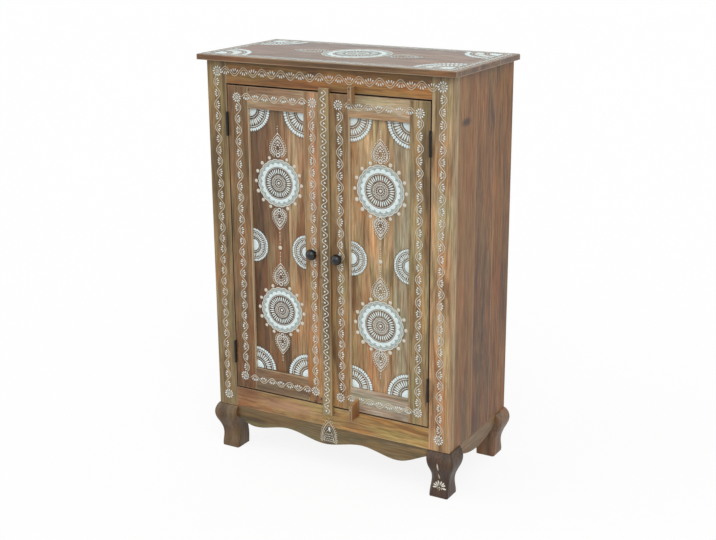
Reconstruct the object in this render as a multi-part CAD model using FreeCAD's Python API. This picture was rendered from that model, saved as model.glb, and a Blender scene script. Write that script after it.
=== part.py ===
import FreeCAD, Part
import math
import os

from FreeCAD import Vector

# A two-door storage cabinet in mango wood: a planked carcass with a face frame, two framed
# and panelled doors, a centre strip, two shelves, scalloped aprons and four cabriole legs.
# Millimetres, Z up, the front faces -Y. The origin is on the floor, under the middle of the
# box that holds the whole cabinet. While it is built, Y is 0 at the front of the face frame.

os.makedirs("parts", exist_ok=True)

# Overall sizes of the carcass and the top
height = 900.0
body_width = 581.0
body_depth = 285.0
leg_height = 105.0
top_thickness = 12.0
top_side_overhang = 12.5
top_front_overhang = 18.5
top_rear_overhang = 1.5
top_edge_easing = 1.5
top_board_shares = (0.0, 0.33, 0.67, 1.0)

# Carcass boards
side_thickness = 17.0
side_board_shares = (0.0, 0.32, 0.66, 1.0)
board_easing = 0.6
back_thickness = 6.0
bottom_thickness = 16.0
shelf_thickness = 15.0
shelf_count = 2
shelf_setback = 12.0
shelf_side_play = 0.5
cleat_size = 15.0
cleat_end_gap = 12.0
batten_size = 20.0
corner_block_side = 46.0
glue_block_length = 60.0
glue_block_depth = 18.0
glue_block_reach = 12.0
rear_rail_drop = 28.0
rear_rail_thickness = 17.0

# Face frame and door frames
frame_thickness = 20.0
frame_stile_width = 48.5
frame_top_rail_height = 48.5
frame_bottom_rail_height = 47.5
door_gap = 3.0
meeting_gap = 3.0
door_thickness = 20.0
door_top_rail_height = 46.0
door_bottom_rail_height = 52.5
meeting_stile_width = {"left": 50.5, "right": 54.4}
hinge_stile_width = {"left": 50.8, "right": 46.0}
panel_recess = 7.0
panel_thickness = 8.0
groove_depth = 8.0
groove_play = 0.1
panel_edge_gap = 1.0
tenon_length = 30.0
tenon_shoulder = 9.0

# Centre strip on the left door and the two stop blocks on the right door
strip_width = 23.8
strip_shift = 0.8
strip_thickness = 8.0
strip_lap_top = 7.5
strip_lap_bottom = 17.5
strip_easing = 1.0
front_relief = 0.4
upper_block_width = 9.5
upper_block_depth = 15.0
upper_block_height = 34.0
upper_block_lap = 18.5
upper_block_x = 66.0
lower_block_width = 8.0
lower_block_depth = 33.0
lower_block_height = 40.0
lower_block_lap = 6.5
lower_block_top_fall = 7.0
lower_block_x = 73.0
block_easing = 0.8

# Knobs
knob_height_above_floor = {"left": 495.0, "right": 492.5}
knob_x = 30.8
knob_radius = 11.7
knob_reach = 24.0
knob_flattening = 0.92
knob_neck_radius = 4.0
knob_base_radius = 5.5
knob_base_thickness = 2.0
knob_screw_radius = 2.0
knob_screw_depth = 8.0
knob_screw_head_radius = 4.0
knob_screw_head_height = 2.4

# Butt hinges
hinge_length = 50.8
hinge_inset = 57.5
leaf_thickness = 1.0
leaf_gap = 0.3
leaf_width = 16.0
knuckle_count = 5
knuckle_gap = 0.3
barrel_radius = 2.8
barrel_standoff = 0.3
pin_radius = 1.4
pin_head_radius = 2.3
pin_head_height = 0.8
hinge_screw_shares = (0.14, 0.5, 0.86)
hinge_screw_inset_share = 0.55

# Screws, nails and their holes
running_play = 0.05
screw_radius = 1.2
screw_head_radius = 2.3
screw_head_height = 0.95
screw_point = 2.5
hinge_screw_length = 13.0
cleat_screw_length = 26.0
batten_screw_length = 27.0
leg_screw_radius = 2.5
leg_screw_head_radius = 4.8
leg_screw_head_height = 2.8
leg_screw_length = 62.0
nail_radius = 0.8
nail_head_radius = 1.5
nail_head_height = 0.7
strip_nail_length = 20.0
strip_nail_shares = (0.06, 0.35, 0.65, 0.94)
block_nail_into_door = 12.0
cleat_screw_shares = (0.2, 0.8)

# Magnetic catches behind the top rail
catch_rail_length = 130.0
catch_rail_depth = 26.0
catch_rail_height = 30.0
catch_rail_drop = 1.0
catch_x = 34.0
catch_length = 36.0
catch_depth = 14.0
catch_height = 12.0
catch_play = 0.5
strike_length = 30.0
strike_height = 9.0
strike_thickness = 1.2
pole_thickness = 1.6
pole_spacing = 6.0
pole_reach = 0.4
catch_screw_length = 20.0

# Aprons: how far each hangs below the carcass, from its middle to its ends
apron_thickness = 17.0
apron_pattern_shift = -13.0
front_apron_end_reach = 19.5
front_apron_span_shares = (0.0, 0.377, 0.726, 0.96, 1.0)
apron_lobe_drop = 43.0
front_apron_drop_shares = (1.0, 0.637, 0.951, 0.4, 0.316)
side_apron_drop = 40.0
side_apron_drop_shares = (1.0, 0.893, 0.485)
side_apron_span_shares = (0.0, 0.45, 1.0)

# Cabriole legs: section heights as shares of the leg height, how far each section stands out
# past the carcass and how wide it is, as shares of the leg width, and its corner rounding.
# The two corners beside the outer one are rounded more, where the ankle is drawn in.
leg_width = 50.0
leg_height_shares = (0.0, 0.1, 0.3, 0.54, 0.76, 0.9, 1.0)
leg_side_bulge_shares = (-0.06, -0.055, -0.055, 0.08, 0.24, 0.19, 0.05)
leg_end_bulge_shares = (0.01, 0.01, -0.05, 0.08, 0.24, 0.19, 0.05)
leg_inner_shares = (0.92, 0.93, 0.93, 0.92, 0.99, 1.0, 1.0)
leg_corner_shares = (0.07, 0.08, 0.1, 0.14, 0.17, 0.14, 0.06)
leg_side_corner_shares = (0.09, 0.14, 0.28, 0.28, 0.18, 0.1, 0.04)
leg_screw_inset_share = 0.62

# Places that follow from the sizes above
half_width = body_width / 2
underside = leg_height
top_underside = height - top_thickness
opening_half = half_width - frame_stile_width
opening_bottom = underside + frame_bottom_rail_height
opening_top = top_underside - frame_top_rail_height
inner_half = half_width - side_thickness
inner_rear = body_depth - back_thickness
door_bottom = opening_bottom + door_gap
door_top = opening_top - door_gap
pin_x = opening_half - leaf_thickness - leaf_gap / 2
pin_y = -(barrel_radius + barrel_standoff)
door_outer = opening_half - leaf_thickness * 2 - leaf_gap
door_inner = meeting_gap / 2
bore_radius = pin_radius + running_play
knee_reach = max(leg_end_bulge_shares) * leg_width
leg_inner = half_width - leg_width
front_apron_half_span = leg_inner + front_apron_end_reach
strip_left = strip_shift - strip_width / 2
strip_right = strip_shift + strip_width / 2
panel_rear = panel_recess + panel_thickness
floor_top = opening_bottom
shelf_front = frame_thickness + shelf_setback
shelf_pitch = (top_underside - floor_top) / (shelf_count + 1)
hinge_bottoms = (door_bottom + hinge_inset, door_top - hinge_inset - hinge_length)
box_front = -max(lower_block_depth, knob_reach, top_front_overhang)
box_rear = body_depth + max(knee_reach, top_rear_overhang)
middle_y = (box_front + box_rear) / 2

X, Y, Z = Vector(1, 0, 0), Vector(0, 1, 0), Vector(0, 0, 1)


def save(name, *solids):
    """Write one node, a single solid or a group of like ones, centred on the origin."""
    shape = solids[0] if len(solids) == 1 else Part.makeCompound(list(solids))
    shape.translated(Vector(0, -middle_y, 0)).exportStep("parts/" + name + ".step")
    print(name, len(shape.Solids), "solids", round(shape.Volume), "mm3")


def box(x0, x1, y0, y1, z0, z1):
    """A box between two values along each axis, given in either order."""
    low = Vector(min(x0, x1), min(y0, y1), min(z0, z1))
    return Part.makeBox(abs(x1 - x0), abs(y1 - y0), abs(z1 - z0), low)


def eased(solid, size):
    """Take the sharpness off every edge of a plain board."""
    return solid.makeChamfer(size, solid.Edges)


def cut(solid, tools):
    """Remove a list of tools from a solid."""
    for tool in tools:
        solid = solid.cut(tool)
    return solid


def countersunk(point, direction, length, play=0.0, shank=screw_radius,
                head=screw_head_radius, head_height=screw_head_height):
    """A countersunk wood screw from its head's face inwards, or its hole where play is given."""
    taper = Part.makeCone(head + play, shank + play, head_height, point, direction)
    body_start = point + direction * head_height
    body_length = length - head_height - screw_point
    shaft = Part.makeCylinder(shank + play, body_length, body_start, direction)
    tip_start = body_start + direction * body_length
    tip = Part.makeCone(shank + play, nail_radius / 2, screw_point + play, tip_start, direction)
    return taper.fuse(shaft).fuse(tip).removeSplitter()


def nail(point, direction, length, play=0.0):
    """A flat-headed nail from its head's face inwards, or its hole where play is given."""
    head = Part.makeCylinder(nail_head_radius + play, nail_head_height, point, direction)
    shaft = Part.makeCylinder(nail_radius + play, length + play, point, direction)
    return head.fuse(shaft).removeSplitter()


def screws_and_holes(places, length, **size):
    """Screws at (point, direction) places, with the holes that take them."""
    screws = [countersunk(point, direction, length, **size) for point, direction in places]
    holes = [countersunk(point, direction, length, play=running_play, **size)
             for point, direction in places]
    return screws, holes


# Top boards, laid side by side from front to rear

def top_boards(screw_holes):
    front = -top_front_overhang
    depth = top_front_overhang + body_depth + top_rear_overhang
    half = half_width + top_side_overhang
    for name, start, end in zip(("front", "middle", "rear"), top_board_shares, top_board_shares[1:]):
        board = box(-half, half, front + depth * start, front + depth * end, top_underside, height)
        outer = [edge for edge in board.Edges if on_outline(edge, half, front, front + depth)]
        board = board.makeChamfer(top_edge_easing, outer)
        save("top_" + name + "_board", cut(board, screw_holes))


def on_outline(edge, half, front, rear):
    """True for the top's outer upper edges."""
    middle = edge.CenterOfMass
    at_side = math.isclose(abs(middle.x), half)
    at_end = math.isclose(middle.y, front) or math.isclose(middle.y, rear)
    return math.isclose(middle.z, height) and (at_side or at_end)


# Side walls, each of three boards set on edge

def side_boards(screw_holes):
    depth = body_depth - frame_thickness
    for side, name in ((-1, "left"), (1, "right")):
        for place, start, end in zip(("front", "middle", "rear"), side_board_shares,
                                     side_board_shares[1:]):
            board = eased(box(side * inner_half, side * half_width,
                              frame_thickness + depth * start, frame_thickness + depth * end,
                              underside, top_underside), board_easing)
            save("side_" + name + "_" + place + "_board", cut(board, screw_holes))


# Back, bottom and shelves

def back_and_shelves():
    save("back_panel", box(-inner_half, inner_half, inner_rear, body_depth, underside, top_underside))
    save("bottom_board", box(-inner_half, inner_half, frame_thickness, inner_rear,
                             floor_top - bottom_thickness, floor_top))
    half = inner_half - shelf_side_play
    for index, name in enumerate(("lower_shelf", "upper_shelf"), start=1):
        shelf_top = floor_top + shelf_pitch * index
        shelf = box(-half, half, shelf_front, inner_rear, shelf_top - shelf_thickness, shelf_top)
        save(name, eased(shelf, board_easing))


def cleats_and_battens():
    """Strips that carry the shelves and tie the top to the sides, with their screw places."""
    cleats, battens, cleat_places, batten_places = [], [], [], []
    cleat_front = shelf_front + cleat_end_gap
    cleat_rear = inner_rear - cleat_end_gap
    for side in (-1, 1):
        wall = side * inner_half
        face = side * (inner_half - cleat_size)
        for index in range(1, shelf_count + 1):
            cleat_top = floor_top + shelf_pitch * index - shelf_thickness
            cleats.append(box(face, wall, cleat_front, cleat_rear, cleat_top - cleat_size, cleat_top))
            for share in cleat_screw_shares:
                y = cleat_front + (cleat_rear - cleat_front) * share
                cleat_places.append((Vector(face, y, cleat_top - cleat_size / 2), X * side))
        inner_face = side * (inner_half - batten_size)
        battens.append(box(inner_face, wall, frame_thickness, inner_rear,
                           top_underside - batten_size, top_underside))
        for share in cleat_screw_shares:
            y = frame_thickness + (inner_rear - frame_thickness) * share
            x = side * (inner_half - batten_size / 2)
            batten_places.append((Vector(x, y, top_underside - batten_size), Z))
    return cleats, battens, cleat_places, batten_places


# Face frame

def tenon(x0, x1, z0, z1, shoulder, play=0.0):
    """A tenon or, with play, its mortise, in the plane that the door panels lie in."""
    return box(x0, x1, panel_recess - play, panel_rear + play,
               z0 + shoulder - play, z1 - shoulder + play)


def face_frame(hinge_holes):
    rail_heights = ((underside, opening_bottom), (opening_top, top_underside))
    for side, name in ((-1, "left"), (1, "right")):
        stile = eased(box(side * opening_half, side * half_width, 0, frame_thickness,
                          underside, top_underside), board_easing)
        mortise_end = side * (opening_half + tenon_length + groove_play)
        mortises = [tenon(side * opening_half, mortise_end, low, high, tenon_shoulder, groove_play)
                    for low, high in rail_heights]
        save("frame_" + name + "_stile", cut(stile, mortises + hinge_holes))
    reach = opening_half + tenon_length
    for name, (low, high) in zip(("bottom", "top"), rail_heights):
        rail = eased(box(-opening_half, opening_half, 0, frame_thickness, low, high), board_easing)
        rail = rail.fuse(tenon(-reach, reach, low, high, tenon_shoulder)).removeSplitter()
        save("frame_" + name + "_rail", rail)


# Doors

def door_frame(side, name, holes):
    """Two stiles, two rails and the panel that floats in their grooves."""
    outer, inner = side * door_outer, side * door_inner
    hinge_edge = side * (door_outer - hinge_stile_width[name])
    meeting_edge = side * (door_inner + meeting_stile_width[name])
    panel_bottom = door_bottom + door_bottom_rail_height
    panel_top = door_top - door_top_rail_height
    rails = (("bottom", door_bottom, panel_bottom), ("top", panel_top, door_top))

    deep = groove_depth + groove_play
    near, far = panel_recess - groove_play, panel_rear + groove_play
    groove = box(hinge_edge + side * deep, meeting_edge - side * deep, near, far,
                 panel_bottom - deep, panel_top + deep)

    for part, start, end in (("hinge_stile", outer, hinge_edge), ("meeting_stile", inner, meeting_edge)):
        stile = eased(box(start, end, 0, door_thickness, door_bottom, door_top), board_easing)
        away = side if part == "hinge_stile" else -side
        mortises = [tenon(end, end + away * (tenon_length + groove_play), low, high,
                          tenon_shoulder, groove_play) for _, low, high in rails]
        save(name + "_door_" + part, cut(stile, [groove] + mortises + holes))

    for part, low, high in rails:
        rail = eased(box(hinge_edge, meeting_edge, 0, door_thickness, low, high), board_easing)
        rail = rail.cut(groove)
        rail = rail.fuse(tenon(hinge_edge + side * tenon_length, meeting_edge - side * tenon_length,
                               low, high, tenon_shoulder)).removeSplitter()
        save(name + "_door_" + part + "_rail", cut(rail, holes))

    reach = groove_depth - panel_edge_gap
    save(name + "_door_panel", box(hinge_edge + side * reach, meeting_edge - side * reach,
                                   panel_recess, panel_rear, panel_bottom - reach, panel_top + reach))


def knob_and_screw(side, name):
    """A flattened ball on a neck and a base ring, held by a screw from inside the door."""
    centre = Vector(side * knob_x, 0, knob_height_above_floor[name])
    ball_half = knob_radius * knob_flattening
    squash = FreeCAD.Matrix()
    squash.scale(Vector(1, knob_flattening, 1))
    ball = Part.makeSphere(knob_radius).transformGeometry(squash)
    ball = ball.translated(centre - Y * (knob_reach - ball_half))
    neck = Part.makeCylinder(knob_neck_radius, knob_reach - ball_half, centre, -Y)
    base = Part.makeCylinder(knob_base_radius, knob_base_thickness, centre, -Y)
    knob = ball.fuse(neck).fuse(base).removeSplitter()

    shank_start = centre + Y * door_thickness
    shank_length = door_thickness + knob_screw_depth
    bore = Part.makeCylinder(knob_screw_radius + running_play, shank_length + running_play,
                             shank_start, -Y)
    shank = Part.makeCylinder(knob_screw_radius, shank_length, shank_start, -Y)
    head = Part.makeCylinder(knob_screw_head_radius, knob_screw_head_height, shank_start, Y)
    save(name + "_door_knob", knob.cut(bore))
    save(name + "_door_knob_screw", shank.fuse(head).removeSplitter())
    return bore


def centre_strip():
    """The strip over the meeting gap: it lies on the left door and clears all it laps over."""
    low, high = opening_bottom - strip_lap_bottom, opening_top + strip_lap_top
    strip = eased(box(strip_left, strip_right, -strip_thickness, 0, low, high), strip_easing)
    reliefs = [box(-door_inner, strip_right, -front_relief, 0, low, high),
               box(strip_left, strip_right, -front_relief, 0, low, door_bottom),
               box(strip_left, strip_right, -front_relief, 0, door_top, high)]
    x = (strip_left - door_inner) / 2
    points = [Vector(x, -strip_thickness, door_bottom + (door_top - door_bottom) * share)
              for share in strip_nail_shares]
    nails = [nail(point, Y, strip_nail_length) for point in points]
    holes = [nail(point, Y, strip_nail_length, running_play) for point in points]
    save("centre_strip", cut(strip, reliefs + holes))
    save("centre_strip_nails", *nails)
    return holes


def stop_blocks():
    """Two small blocks on the right door that lap over the face frame and stop it."""
    upper_low = door_top + upper_block_lap - upper_block_height
    lower_low = opening_bottom - lower_block_lap
    lower_high = lower_low + lower_block_height
    laps = [box(0, opening_half, -front_relief, 0, door_top, top_underside),
            box(0, opening_half, -front_relief, 0, underside, door_bottom)]
    upper = box(upper_block_x - upper_block_width / 2, upper_block_x + upper_block_width / 2,
                -upper_block_depth, 0, upper_low, upper_low + upper_block_height)
    upper_point = Vector(upper_block_x, -upper_block_depth, (upper_low + door_top) / 2)
    lower_point = Vector(lower_block_x, -lower_block_depth, (lower_high + door_bottom) / 2)
    nails, holes = [], []
    for name, block, point in (("upper_stop_block", upper, upper_point),
                               ("lower_stop_block", sloped_block(lower_low, lower_high), lower_point)):
        length = block_nail_into_door - point.y
        nails.append(nail(point, Y, length))
        holes.append(nail(point, Y, length, running_play))
        save(name, cut(eased(block, block_easing), laps + holes))
    save("stop_block_nails", *nails)
    return holes


def sloped_block(low, high):
    """The lower block: its top falls toward its front."""
    x = lower_block_x - lower_block_width / 2
    corners = [Vector(x, 0, low), Vector(x, -lower_block_depth, low),
               Vector(x, -lower_block_depth, high - lower_block_top_fall), Vector(x, 0, high)]
    profile = Part.Face(Part.makePolygon(corners + corners[:1]))
    return profile.extrude(X * lower_block_width)


# Butt hinges, their pins and screws

def hinge_leaf(side, bottom, on_frame, screw_holes):
    """One leaf in the gap beside a door, with every other knuckle of the barrel."""
    away = side if on_frame else -side
    near = side * pin_x + away * leaf_gap / 2
    far = near + away * leaf_thickness
    leaf = box(near, far, 0, leaf_width, bottom, bottom + hinge_length)
    pitch = (hinge_length + knuckle_gap) / knuckle_count
    for index in range(knuckle_count):
        if (index % 2 == 0) != on_frame:
            continue
        low = bottom + pitch * index
        knuckle = Part.makeCylinder(barrel_radius, pitch - knuckle_gap, Vector(side * pin_x, pin_y, low))
        tongue = box(near, far, pin_y, 0, low, low + pitch - knuckle_gap)
        leaf = leaf.fuse(knuckle).fuse(tongue)
    bore = Part.makeCylinder(bore_radius, hinge_length, Vector(side * pin_x, pin_y, bottom))
    return cut(leaf, [bore] + screw_holes).removeSplitter()


def hinge_pin(side, bottom):
    shaft = Part.makeCylinder(pin_radius, hinge_length, Vector(side * pin_x, pin_y, bottom))
    top = Vector(side * pin_x, pin_y, bottom + hinge_length)
    head = Part.makeCone(pin_head_radius, pin_radius, pin_head_height, top)
    return shaft.fuse(head).removeSplitter()


def leaf_screw_places(side, on_frame):
    """Where one side's leaves are screwed on: to the frame's stile, or to the door's edge."""
    away = side if on_frame else -side
    x = side * pin_x + away * leaf_gap / 2
    y = leaf_width * hinge_screw_inset_share
    return [(Vector(x, y, bottom + hinge_length * share), X * away)
            for bottom in hinge_bottoms for share in hinge_screw_shares]


# Magnetic catches and strike plates

def catches():
    """A cleat behind the top rail with two magnets, and where its screws go."""
    rail_low = opening_top + catch_rail_drop
    rail_rear = frame_thickness + catch_rail_depth
    half = catch_rail_length / 2
    cleat = box(-half, half, frame_thickness, rail_rear, rail_low, rail_low + catch_rail_height)
    front = door_thickness + strike_thickness + catch_play
    low = rail_low - catch_height
    middle_z = rail_low - catch_height / 2
    bodies, places, plates = [], [], []
    for side in (-1, 1):
        x = side * catch_x
        case = box(x - catch_length / 2, x + catch_length / 2, front, front + catch_depth, low, rail_low)
        for step in (-1, 1):
            z = middle_z + step * pole_spacing / 2
            case = case.fuse(box(x - strike_length / 2, x + strike_length / 2, front - pole_reach,
                                 front, z - pole_thickness / 2, z + pole_thickness / 2))
        bodies.append(case.removeSplitter())
        places.append((Vector(x, front + catch_depth / 2, low), Z))
        plate_top = min(door_top - board_easing, middle_z + strike_height / 2)
        plates.append(box(x - strike_length / 2, x + strike_length / 2, door_thickness,
                          door_thickness + strike_thickness, plate_top - strike_height, plate_top))
    screws, holes = screws_and_holes(places, catch_screw_length)
    save("catch_rail", cut(cleat, holes))
    save("magnetic_catches", *[cut(case, holes) for case in bodies])
    return screws, plates


def strike_screw_place(plate):
    middle = plate.CenterOfMass
    return Vector(middle.x, door_thickness + strike_thickness, middle.z), -Y


# Aprons

def scalloped(points, along, across, near, ends):
    """A board whose lower edge runs through points (along, height), cut to its two ends."""
    curve = Part.BSplineCurve()
    curve.interpolate([along * place + Z * z for place, z in points])
    first, last = curve.value(curve.FirstParameter), curve.value(curve.LastParameter)
    corner_a = Vector(last.x, last.y, underside)
    corner_b = Vector(first.x, first.y, underside)
    edges = [curve.toShape(), Part.makeLine(last, corner_a), Part.makeLine(corner_a, corner_b),
             Part.makeLine(corner_b, first)]
    face = Part.Face(Part.Wire(edges))
    board = face.extrude(across * apron_thickness).translated(across * near)
    start, end = along * ends[0] + across * near, along * ends[1] + across * (near + apron_thickness)
    return board.common(box(start.x, end.x, start.y, end.y, 0, underside))


def aprons():
    half_points = [(front_apron_half_span * place, underside - apron_lobe_drop * drop)
                   for place, drop in zip(front_apron_span_shares, front_apron_drop_shares)]
    points = mirrored(half_points, apron_pattern_shift)
    save("apron_front", scalloped(points, X, Y, 0, (-leg_inner, leg_inner)))

    start, end = leg_width, body_depth - leg_width
    middle, half = (start + end) / 2, (end - start) / 2
    half_points = [(half * place, underside - side_apron_drop * drop)
                   for place, drop in zip(side_apron_span_shares, side_apron_drop_shares)]
    points = mirrored(half_points, middle)
    save("apron_left", scalloped(points, Y, X, -half_width, (start, end)))
    save("apron_right", scalloped(points, Y, X, half_width - apron_thickness, (start, end)))
    save("rear_rail", eased(box(-leg_inner, leg_inner, inner_rear - rear_rail_thickness, inner_rear,
                                underside - rear_rail_drop, floor_top - bottom_thickness),
                            board_easing))


def mirrored(half_points, centre):
    """Points of half an edge, repeated on the other side of its middle."""
    left = [(centre - place, z) for place, z in reversed(half_points[1:])]
    return left + [(centre + place, z) for place, z in half_points]


# Blocks under the bottom board

def blocks(leg_screw_holes):
    low, high = underside, floor_top - bottom_thickness
    corners = []
    for side in (-1, 1):
        for y0, y1 in ((frame_thickness, frame_thickness + corner_block_side),
                       (inner_rear - corner_block_side, inner_rear)):
            block = box(side * inner_half, side * (inner_half - corner_block_side), y0, y1, low, high)
            rear_rail_seat = box(-leg_inner, leg_inner, inner_rear - rear_rail_thickness,
                                 inner_rear, low, high)
            corners.append(cut(block.cut(rear_rail_seat), leg_screw_holes))
    save("corner_blocks", *corners)

    glue_low = underside - glue_block_reach
    side_face = half_width - apron_thickness
    half = glue_block_length / 2
    middle = (frame_thickness + inner_rear) / 2
    glued = []
    for side in (-1, 1):
        x = side * leg_inner / 2
        upper = box(x - half, x + half, frame_thickness, frame_thickness + glue_block_depth, low, high)
        lower = box(x - half, x + half, apron_thickness, frame_thickness + glue_block_depth,
                    glue_low, low)
        glued.append(upper.fuse(lower).removeSplitter())
        inward = side * (inner_half - glue_block_depth)
        upper = box(side * inner_half, inward, middle - half, middle + half, low, high)
        lower = box(side * side_face, inward, middle - half, middle + half, glue_low, low)
        glued.append(upper.fuse(lower).removeSplitter())
    save("glue_blocks", *glued)


# Legs

def rounded_square(x0, x1, y0, y1, radii, z):
    """A closed wire round a rectangle at height z; corners across from each other are alike."""
    edges = []
    corners = ((x1, y0, -1, 1), (x1, y1, -1, -1), (x0, y1, 1, -1), (x0, y0, 1, 1))
    ends = []
    for (x, y, in_x, in_y), radius in zip(corners, radii * 2):
        bend = radius * (1 - math.sqrt(0.5))
        along_x = Vector(x + in_x * radius, y, z)
        along_y = Vector(x, y + in_y * radius, z)
        middle = Vector(x + in_x * bend, y + in_y * bend, z)
        ends.append((along_x, middle, along_y) if in_x * in_y < 0 else (along_y, middle, along_x))
    for index, (start, middle, end) in enumerate(ends):
        edges.append(Part.Arc(start, middle, end).toShape())
        edges.append(Part.makeLine(end, ends[(index + 1) % len(ends)][0]))
    return Part.Wire(edges)


def leg(side, at_rear):
    """A cabriole leg: rounded squares that swell at the knee and draw in at the ankle."""
    wires = []
    for z_share, side_bulge, end_bulge, inner, corner, side_corner in zip(
            leg_height_shares, leg_side_bulge_shares, leg_end_bulge_shares,
            leg_inner_shares, leg_corner_shares, leg_side_corner_shares):
        out_x = side * (half_width + leg_width * side_bulge)
        in_x = side * (half_width - leg_width * inner)
        if at_rear:
            out_y = body_depth + leg_width * end_bulge
            in_y = body_depth - leg_width * inner
        else:
            out_y = -leg_width * end_bulge
            in_y = leg_width * inner
        radii = (leg_width * corner, leg_width * side_corner)
        if (side > 0) == at_rear:
            radii = radii[::-1]
        wires.append(rounded_square(min(out_x, in_x), max(out_x, in_x), min(out_y, in_y),
                                    max(out_y, in_y), radii, leg_height * z_share))
    return Part.makeLoft(wires, True, False)


def legs(leg_screw_holes):
    for side, side_name in ((-1, "left"), (1, "right")):
        for at_rear, end_name in ((False, "front"), (True, "rear")):
            save("leg_" + end_name + "_" + side_name, cut(leg(side, at_rear), leg_screw_holes))


def leg_screw_places():
    """One screw down through each corner block, in the middle of the leg below it."""
    inset = leg_width * leg_screw_inset_share
    top = floor_top - bottom_thickness
    return [(Vector(side * (half_width - inset), y, top), -Z)
            for side in (-1, 1) for y in (inset, body_depth - inset)]


def build():
    cleats, battens, cleat_places, batten_places = cleats_and_battens()
    cleat_screws, cleat_holes = screws_and_holes(cleat_places, cleat_screw_length)
    batten_screws, batten_holes = screws_and_holes(batten_places, batten_screw_length)
    top_boards(batten_holes)
    side_boards(cleat_holes)
    back_and_shelves()
    save("shelf_cleats", *[cut(cleat, cleat_holes) for cleat in cleats])
    save("top_battens", *[cut(batten, batten_holes) for batten in battens])

    frame_places = leaf_screw_places(-1, True) + leaf_screw_places(1, True)
    frame_screws, frame_holes = screws_and_holes(frame_places, hinge_screw_length)
    face_frame(frame_holes)
    save("frame_hinge_leaves", *[hinge_leaf(side, bottom, True, frame_holes)
                                 for side in (-1, 1) for bottom in hinge_bottoms])
    save("hinge_pins", *[hinge_pin(side, bottom) for side in (-1, 1) for bottom in hinge_bottoms])
    save("frame_hinge_screws", *frame_screws)

    catch_screws, plates = catches()
    strip_holes, block_holes = centre_strip(), stop_blocks()
    for side, name, plate, nail_holes in ((-1, "left", plates[0], strip_holes),
                                          (1, "right", plates[1], block_holes)):
        hinge_screws, hinge_holes = screws_and_holes(leaf_screw_places(side, False), hinge_screw_length)
        strike_screws, strike_holes = screws_and_holes([strike_screw_place(plate)], hinge_screw_length)
        knob_bore = knob_and_screw(side, name)
        door_frame(side, name, hinge_holes + strike_holes + nail_holes + [knob_bore])
        save(name + "_door_hinge_leaves", *[hinge_leaf(side, bottom, False, hinge_holes)
                                            for bottom in hinge_bottoms])
        save(name + "_door_screws", *(hinge_screws + strike_screws))
        save(name + "_door_strike_plate", cut(plate, strike_holes))

    leg_size = {"shank": leg_screw_radius, "head": leg_screw_head_radius,
                "head_height": leg_screw_head_height}
    leg_screws, leg_holes = screws_and_holes(leg_screw_places(), leg_screw_length, **leg_size)
    aprons()
    blocks(leg_holes)
    legs(leg_holes)
    save("carcass_screws", *(cleat_screws + batten_screws + catch_screws + leg_screws))


build()
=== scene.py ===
# %% [markdown]
# # A painted mango-wood cabinet
#
# The real cabinet is made of mango wood: boards that are never the same colour twice, planed, rubbed
# with a thin brown wax and fitted with black iron hinges and black knobs. Over the wax a painter has
# squeezed thick white paint from a cone, as henna is drawn, so every line stands up as a small ridge.
# The boards, doors and legs come ready from the frame. This file gives them their finish and paints them.

# %% Load the frame
import math
import random

import bmesh
import bpy
from mathutils import Matrix, Quaternion, Vector
from mathutils.bvhtree import BVHTree


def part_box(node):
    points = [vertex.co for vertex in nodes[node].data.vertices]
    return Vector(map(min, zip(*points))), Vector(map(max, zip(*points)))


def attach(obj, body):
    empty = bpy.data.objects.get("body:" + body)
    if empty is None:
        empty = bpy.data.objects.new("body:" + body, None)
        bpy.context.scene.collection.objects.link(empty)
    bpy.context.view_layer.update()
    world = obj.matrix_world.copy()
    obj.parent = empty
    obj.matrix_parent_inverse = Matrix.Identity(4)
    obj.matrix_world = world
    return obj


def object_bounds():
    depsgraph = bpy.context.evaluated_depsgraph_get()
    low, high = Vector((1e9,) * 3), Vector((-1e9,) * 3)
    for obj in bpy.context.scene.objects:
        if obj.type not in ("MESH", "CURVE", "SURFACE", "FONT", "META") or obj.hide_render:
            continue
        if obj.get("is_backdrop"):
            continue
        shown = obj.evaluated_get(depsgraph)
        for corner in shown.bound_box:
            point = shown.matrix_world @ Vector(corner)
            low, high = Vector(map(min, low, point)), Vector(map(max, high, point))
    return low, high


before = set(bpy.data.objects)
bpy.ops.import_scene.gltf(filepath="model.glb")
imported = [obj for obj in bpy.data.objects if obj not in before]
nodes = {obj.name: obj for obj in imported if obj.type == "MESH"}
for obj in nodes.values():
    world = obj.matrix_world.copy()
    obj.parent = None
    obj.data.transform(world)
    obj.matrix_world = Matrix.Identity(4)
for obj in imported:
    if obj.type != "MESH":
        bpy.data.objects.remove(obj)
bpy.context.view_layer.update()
MM = 0.001
X, Y, Z = 0, 1, 2

# %% [markdown]
# ## Small tools
#
# A maker picks colours as they look on a screen, and a shader works on linear light, so one function
# turns a hex colour into linear numbers. The others build node trees. They take a node's settings by
# keys in lower case and its inputs by keys with a capital or a number, and an input that is given
# another node or a socket is wired to it.

# %% Colours
def linear(hex_colour, gain=1.0):
    """The linear colour of an sRGB hex value, made brighter or darker by gain."""
    channels = [int(hex_colour[i:i + 2], 16) / 255 for i in (1, 3, 5)]
    curve = [c / 12.92 if c <= 0.04045 else ((c + 0.055) / 1.055) ** 2.4 for c in channels]
    return (*[min(1.0, gain * c) for c in curve], 1.0)


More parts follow.
